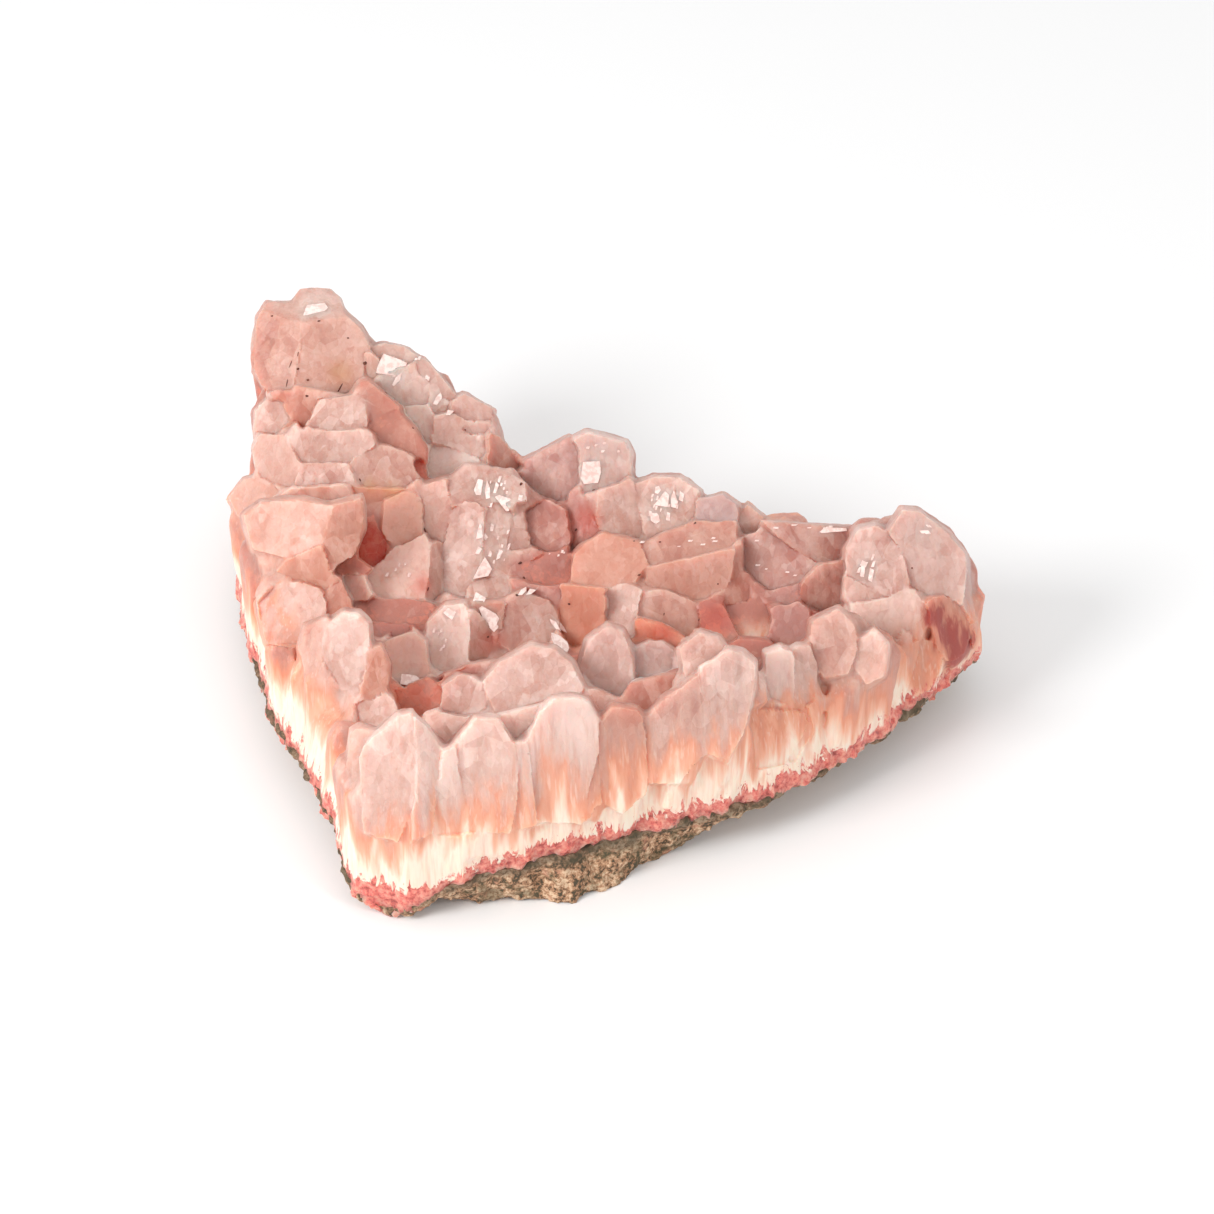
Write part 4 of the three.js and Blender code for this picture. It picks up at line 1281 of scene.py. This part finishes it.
def root_color(n, streak):
    """The broken wall: cream at the root, orange above it, in streaks that fade upwards.

    Also returns how high in the wall each place counts as, in mm.
    """
    flame = n.noise(n.grid(0.3, 0.05), 2, 0.5, 0.6)
    right = n.vector("DOT_PRODUCT", n.place, (1 / MM, 0, 0))
    climb = n.sum(
        n.number("rise"),
        n.product(n.math("SUBTRACT", flame, 0.5), -22.0),
        n.product(n.math("SUBTRACT", streak, 0.5), -9.0),
        n.band(right, 22.0, 40.0, 0.0, 4.0),
    )
    height = n.math("DIVIDE", climb, CLIMB_RANGE)
    color = n.ramp(height, (0.3, CREAM), (0.48, PEACH), (0.66, ORANGE), (0.95, ROSE))
    thread = n.noise(n.grid(2.2, 0.16), 2, 0.5, 0.3)
    color = n.mix(n.band(thread, 0.45, 0.7, 0.0, 0.3), color, PEACH)
    return n.mix(n.band(thread, 0.45, 0.25, 0.0, 0.4), color, CREAM), climb


def stained(n, color, streak):
    """The dark red stain at the right end."""
    stain = n.sum(n.number("maroon"), n.band(streak, 0.3, 0.7, -0.3, 0.2))
    color = n.mix(n.band(stain, 0.0, 0.6, 0.0, 0.8), color, RUST)
    return n.mix(n.band(stain, 0.4, 0.9, 0.0, 0.9), color, MAROON)


def seam_color(n):
    """The seam on the rock, and its share: its tongues climb between the columns."""
    tongue = n.noise(n.grid(0.8, 0.3), 4, 0.65, 1.0)
    reach = n.band(tongue, 0.38, 0.7, 0.7, 3.6)
    share = n.band(n.math("SUBTRACT", reach, n.number("rise")), -0.2, 0.4)
    lump = n.noise(n.grid(1.2), 4, 0.65)
    return n.ramp(lump, (0.32, MAROON), (0.46, CRIMSON), (0.62, SALMON)), share


def heulandite():
    """Translucent, pearly crystals with a broken wall and a crimson seam."""
    n = Nodes("heulandite")
    foot = n.band(n.number("rise"), 9.0, 5.0)
    wall = n.math("MAXIMUM", n.band(n.number("edge"), 6.5, 3.5), foot)
    mottle = n.noise(n.grid(0.5), 4, 0.6)
    streak = n.noise(n.grid(0.9, 0.12), 3, 0.6, 0.5)
    grain = n.noise(n.grid(2.5), 3, 0.6)
    large_cells = n.grid(0.42, 0.3)
    tone, plane = n.cells(large_cells)
    small_tone, small_plane = n.cells(n.grid(1.3, 0.7))
    vein = n.product(n.band(n.cell_rims(large_cells), 0.05, 0.0), n.band(mottle, 0.45, 0.6))
    tones = (
        n.band(tone, 0.0, 1.0, -0.16, 0.16),
        n.band(small_tone, 0.0, 1.0, -0.1, 0.1),
        n.band(grain, 0.3, 0.7, -0.07, 0.07),
        n.product(vein, 0.16),
    )
    root, climb = root_color(n, streak)
    root_share = n.product(wall, n.band(climb, 24.0, 5.0))
    seam, seam_share = seam_color(n)
    color = n.mix(root_share, crystal_color(n, wall, tones), root)
    color = n.mix(seam_share, stained(n, color, streak), seam)
    chips = n.sum(plane, n.product(small_plane, 0.5), n.product(grain, 0.1))
    body_share = n.band(n.sum(seam_share, root_share), 1.0, 0.0)
    n.set(
        Base_Color=color,
        Roughness=n.band(mottle, 0.3, 0.7, 0.38, 0.56),
        Subsurface_Weight=0.9,
        Subsurface_Radius=(1.0, 0.45, 0.35),
        Subsurface_Scale=3.5 * MM,
        IOR=STONE_IOR,
        Coat_Weight=0.05,
        Coat_Roughness=0.12,
        Normal=n.bump(n.product(chips, body_share), 0.8, 0.45 * MM),
    )
    return n.material


def cleavage():
    """The fresh, glossy faces that flash: by reflection, and by a near-white colour that is a painted
    glint.
    """
    n = Nodes("cleavage")
    cloud = n.noise(n.grid(1.2), 3)
    n.set(
        # painted glint: near-white base colour, whatever the light
        Base_Color=n.mix(n.band(cloud, 0.35, 0.6), PAINTED_GLINT_PINK, PAINTED_GLINT_WHITE),
        Roughness=n.band(cloud, 0.3, 0.7, 0.2, 0.35),
        IOR=STONE_IOR,
    )
    return n.material


ROCK_DARK = (0.075, 0.058, 0.035)
ROCK_BROWN = (0.33, 0.17, 0.09)
ROCK_TAN = (0.50, 0.28, 0.16)
ROCK_SAND = (0.74, 0.53, 0.35)
ROCK_PINK = (0.62, 0.27, 0.18)
ROCK_OLIVE = (0.10, 0.09, 0.045)


def basalt():
    """Rough, matt rock, speckled brown and sand with pink and olive patches, with painted shade in its
    pits and down its sides.
    """
    n = Nodes("basalt")
    clump = n.noise(n.grid(0.5), 3, 0.6)
    grain = n.sum(n.noise(n.grid(1.7), 4, 0.7), n.band(clump, 0.3, 0.7, -0.09, 0.09))
    patch = n.noise(n.grid(0.22), 4, 0.7)
    pink = n.noise(n.grid(0.3), 3, 0.6)
    color = n.ramp(grain, (0.39, ROCK_DARK), (0.46, ROCK_BROWN), (0.53, ROCK_TAN), (0.62, ROCK_SAND))
    color = n.mix(n.band(pink, 0.58, 0.7, 0.0, 0.7), color, ROCK_PINK)
    color = n.mix(n.band(patch, 0.5, 0.4, 0.0, 0.55), color, ROCK_OLIVE)
    # painted shade: darker the further a place lies below the rock's top nearby
    color = n.mix(n.band(n.number("under"), 2.4, 0.6, 0.0, 0.7), color, ROCK_DARK)
    n.set(
        Base_Color=color,
        Roughness=n.band(grain, 0.3, 0.7, 0.95, 0.75),
        Normal=n.bump(grain, 0.6, 0.4 * MM),
    )
    return n.material


OXIDE_BLACK = (0.05, 0.015, 0.01)
OXIDE_RED = (0.20, 0.06, 0.035)


def iron_oxide():
    n = Nodes("iron_oxide")
    grain = n.noise(n.grid(3), 2)
    n.set(
        Base_Color=n.ramp(grain, (0.3, OXIDE_BLACK), (0.7, OXIDE_RED)),
        Roughness=n.band(grain, 0.3, 0.7, 0.7, 0.9),
    )
    return n.material


# ------ the rock

ROCK_VOXEL = 0.4 * MM
ROCK_TRIANGLES = 110000
ROCK_SOFTENING = 0.5
ROCK_ROUNDS = 4
ROCK_LUMPS = Relief(layered_noise, seed=51, size=4 * MM, height=0.7 * MM)
ROCK_GRAINS = Relief(layered_noise, seed=57, size=1.2 * MM, height=0.5 * MM)
UNDER_REACH = 1 * MM


def rock_piece():
    """The rock under the crust: lumps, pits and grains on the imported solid's form."""
    piece = object_from("basalt_rock", joined_copy(MATRIX))
    mesh = fused(piece, ROCK_VOXEL)
    positions = relaxed(mesh, vectors(mesh, "co"), ROCK_SOFTENING, ROCK_ROUNDS)
    heights = ROCK_LUMPS.on(positions) + ROCK_GRAINS.on(positions)
    positions += vectors(mesh, "normal") * heights[:, None]
    positions[:, 2] = np.maximum(positions[:, 2], 0)
    move_to(mesh, positions)
    mesh = thinned(piece, ROCK_TRIANGLES)
    positions = vectors(mesh, "co")
    store(mesh, "under", (local_top(positions, UNDER_REACH) - positions[:, 2]) / MM)
    return piece


# ------ dark grains


class Speck(NamedTuple):
    """A grain or needle; its place is a pixel of the photograph, its size is in mm."""

    place: tuple
    length: float
    width: float
    turn: float = 0  # degrees against the clock from the right, as the camera sees it


SPECKS = {
    "summit": (
        Speck((365, 363), 0.7, 0.5, 30),
        Speck((298, 369), 0.5, 0.4),
        Speck((308, 380), 0.45, 0.35, 10),
        Speck((348, 338), 0.3, 0.25),
        Speck((272, 316), 0.35, 0.25),
        Speck((322, 309), 0.4, 0.25, 60),
        Speck((319, 321), 0.5, 0.25, 20),
        Speck((291, 363), 1.6, 0.16, 72),
        Speck((287, 383), 1.2, 0.16, 80),
        Speck((340, 388), 1.6, 0.2, 62),
        Speck((298, 354), 0.7, 0.16, 80),
        Speck((307, 396), 0.5, 0.3),
        Speck((386, 393), 0.35, 0.3),
    ),
    "ledge": (Speck((360, 480), 0.5, 0.25, 120),),
    "tower": (
        Speck((521, 484), 0.5, 0.4, 60),
        Speck((594, 490), 0.9, 0.22, 70),
        Speck((576, 530), 0.6, 0.3, 45),
        Speck((539, 550), 0.4, 0.3),
        Speck((520, 563), 0.6, 0.35, 20),
        Speck((524, 578), 0.5, 0.3, 120),
    ),
    "pit": (
        Speck((428, 589), 0.6, 0.35, 30),
        Speck((425, 531), 0.9, 0.35, 80),
    ),
    "lens": (
        Speck((488, 637), 0.4, 0.3),
        Speck((517, 595), 0.5, 0.35),
    ),
    "dome": (
        Speck((634, 541), 0.3, 0.25),
        Speck((639, 575), 0.5, 0.25, 20),
        Speck((569, 604), 0.4, 0.3),
    ),
    "ridge": (
        Speck((699, 620), 0.45, 0.35),
        Speck((660, 542), 0.4, 0.2, 10),
        Speck((695, 523), 0.4, 0.25, 30),
        Speck((718, 584), 0.25, 0.2),
        Speck((664, 614), 0.4, 0.15, 80),
    ),
    "saddle": (
        Speck((413, 428), 0.3, 0.25),
        Speck((465, 430), 0.3, 0.25),
    ),
    "wing": (Speck((912, 568), 0.25, 0.25),),
}

SPECK_HEIGHT = 0.6  # of its width
SPECK_ROUGHNESS = (0.8, 1.15)  # the shares of its reach that its corners lie at


def add_speck(specks, speck, surface, rng):
    """Adds a grain that lies half sunk in the surface."""
    middle, normal, _, _ = surface.ray_cast(EYE, pixel_ray(*speck.place))
    along = Matrix.Rotation(math.radians(speck.turn), 3, VIEW_FROM) @ RIGHT
    along = (along - normal * along.dot(normal)).normalized()
    across = normal.cross(along)
    axes = (along * speck.length, across * speck.width, normal * speck.width * SPECK_HEIGHT)
    for vert in bmesh.ops.create_icosphere(specks, subdivisions=2, radius=0.5 * MM)["verts"]:
        rough = rng.uniform(*SPECK_ROUGHNESS)
        vert.co = middle + sum((axis * part * rough for axis, part in zip(axes, vert.co)), Vector())


def speck_piece(surface):
    rng = random.Random(4)
    specks = bmesh.new()
    for speck in itertools.chain(*SPECKS.values()):
        add_speck(specks, speck, surface, rng)
    return object_from("iron_specks", specks)


# ------ the four pieces

rock = rock_piece()
rock.data.materials.clear()
rock.data.materials.append(basalt())
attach(rock, "root")
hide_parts(MATRIX)

crust = crust_piece()
crust.data.materials.clear()
crust.data.materials.append(heulandite())
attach(crust, "root")
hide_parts(CRUST)

crust_surface = surface_of(crust.data)
gleams = gleam_piece(crust_surface)
gleams.data.materials.append(cleavage())
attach(gleams, "root")

specks = speck_piece(crust_surface)
specks.data.materials.append(iron_oxide())
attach(specks, "root")

# ------ light and floor

KEY_PLACE = Vector((-0.40, -0.32, 0.38))
FLOOR_REACH = 4.0
FLOOR_GREY = (0.9, 0.9, 0.9)
WORLD_STRENGTH = 0.85


def add_light(name, position, size, power):
    data = bpy.data.lights.new(name, "AREA")
    data.shape = "DISK"
    data.size = size
    data.energy = power
    looking(new_object(name, data), position, AIM)


def add_floor():
    corners = [(x * FLOOR_REACH, y * FLOOR_REACH, 0) for x, y in ((-1, -1), (1, -1), (1, 1), (-1, 1))]
    mesh = bpy.data.meshes.new("floor")
    mesh.from_pydata(corners, [], [(0, 1, 2, 3)])
    n = Nodes("floor")
    n.set(Base_Color=FLOOR_GREY, Roughness=0.4)
    mesh.materials.append(n.material)
    new_object("floor", mesh)


def add_world():
    world = bpy.data.worlds.new("studio")
    world.use_nodes = True
    background = world.node_tree.nodes["Background"]
    background.inputs["Color"].default_value = (1, 1, 1, 1)
    background.inputs["Strength"].default_value = WORLD_STRENGTH
    bpy.context.scene.world = world


add_floor()
add_world()
add_light("key", KEY_PLACE, size=0.25, power=2.5)
add_light("fill", FILL_PLACE, size=0.12, power=0.6)
bpy.context.scene.view_settings.view_transform = "Standard"
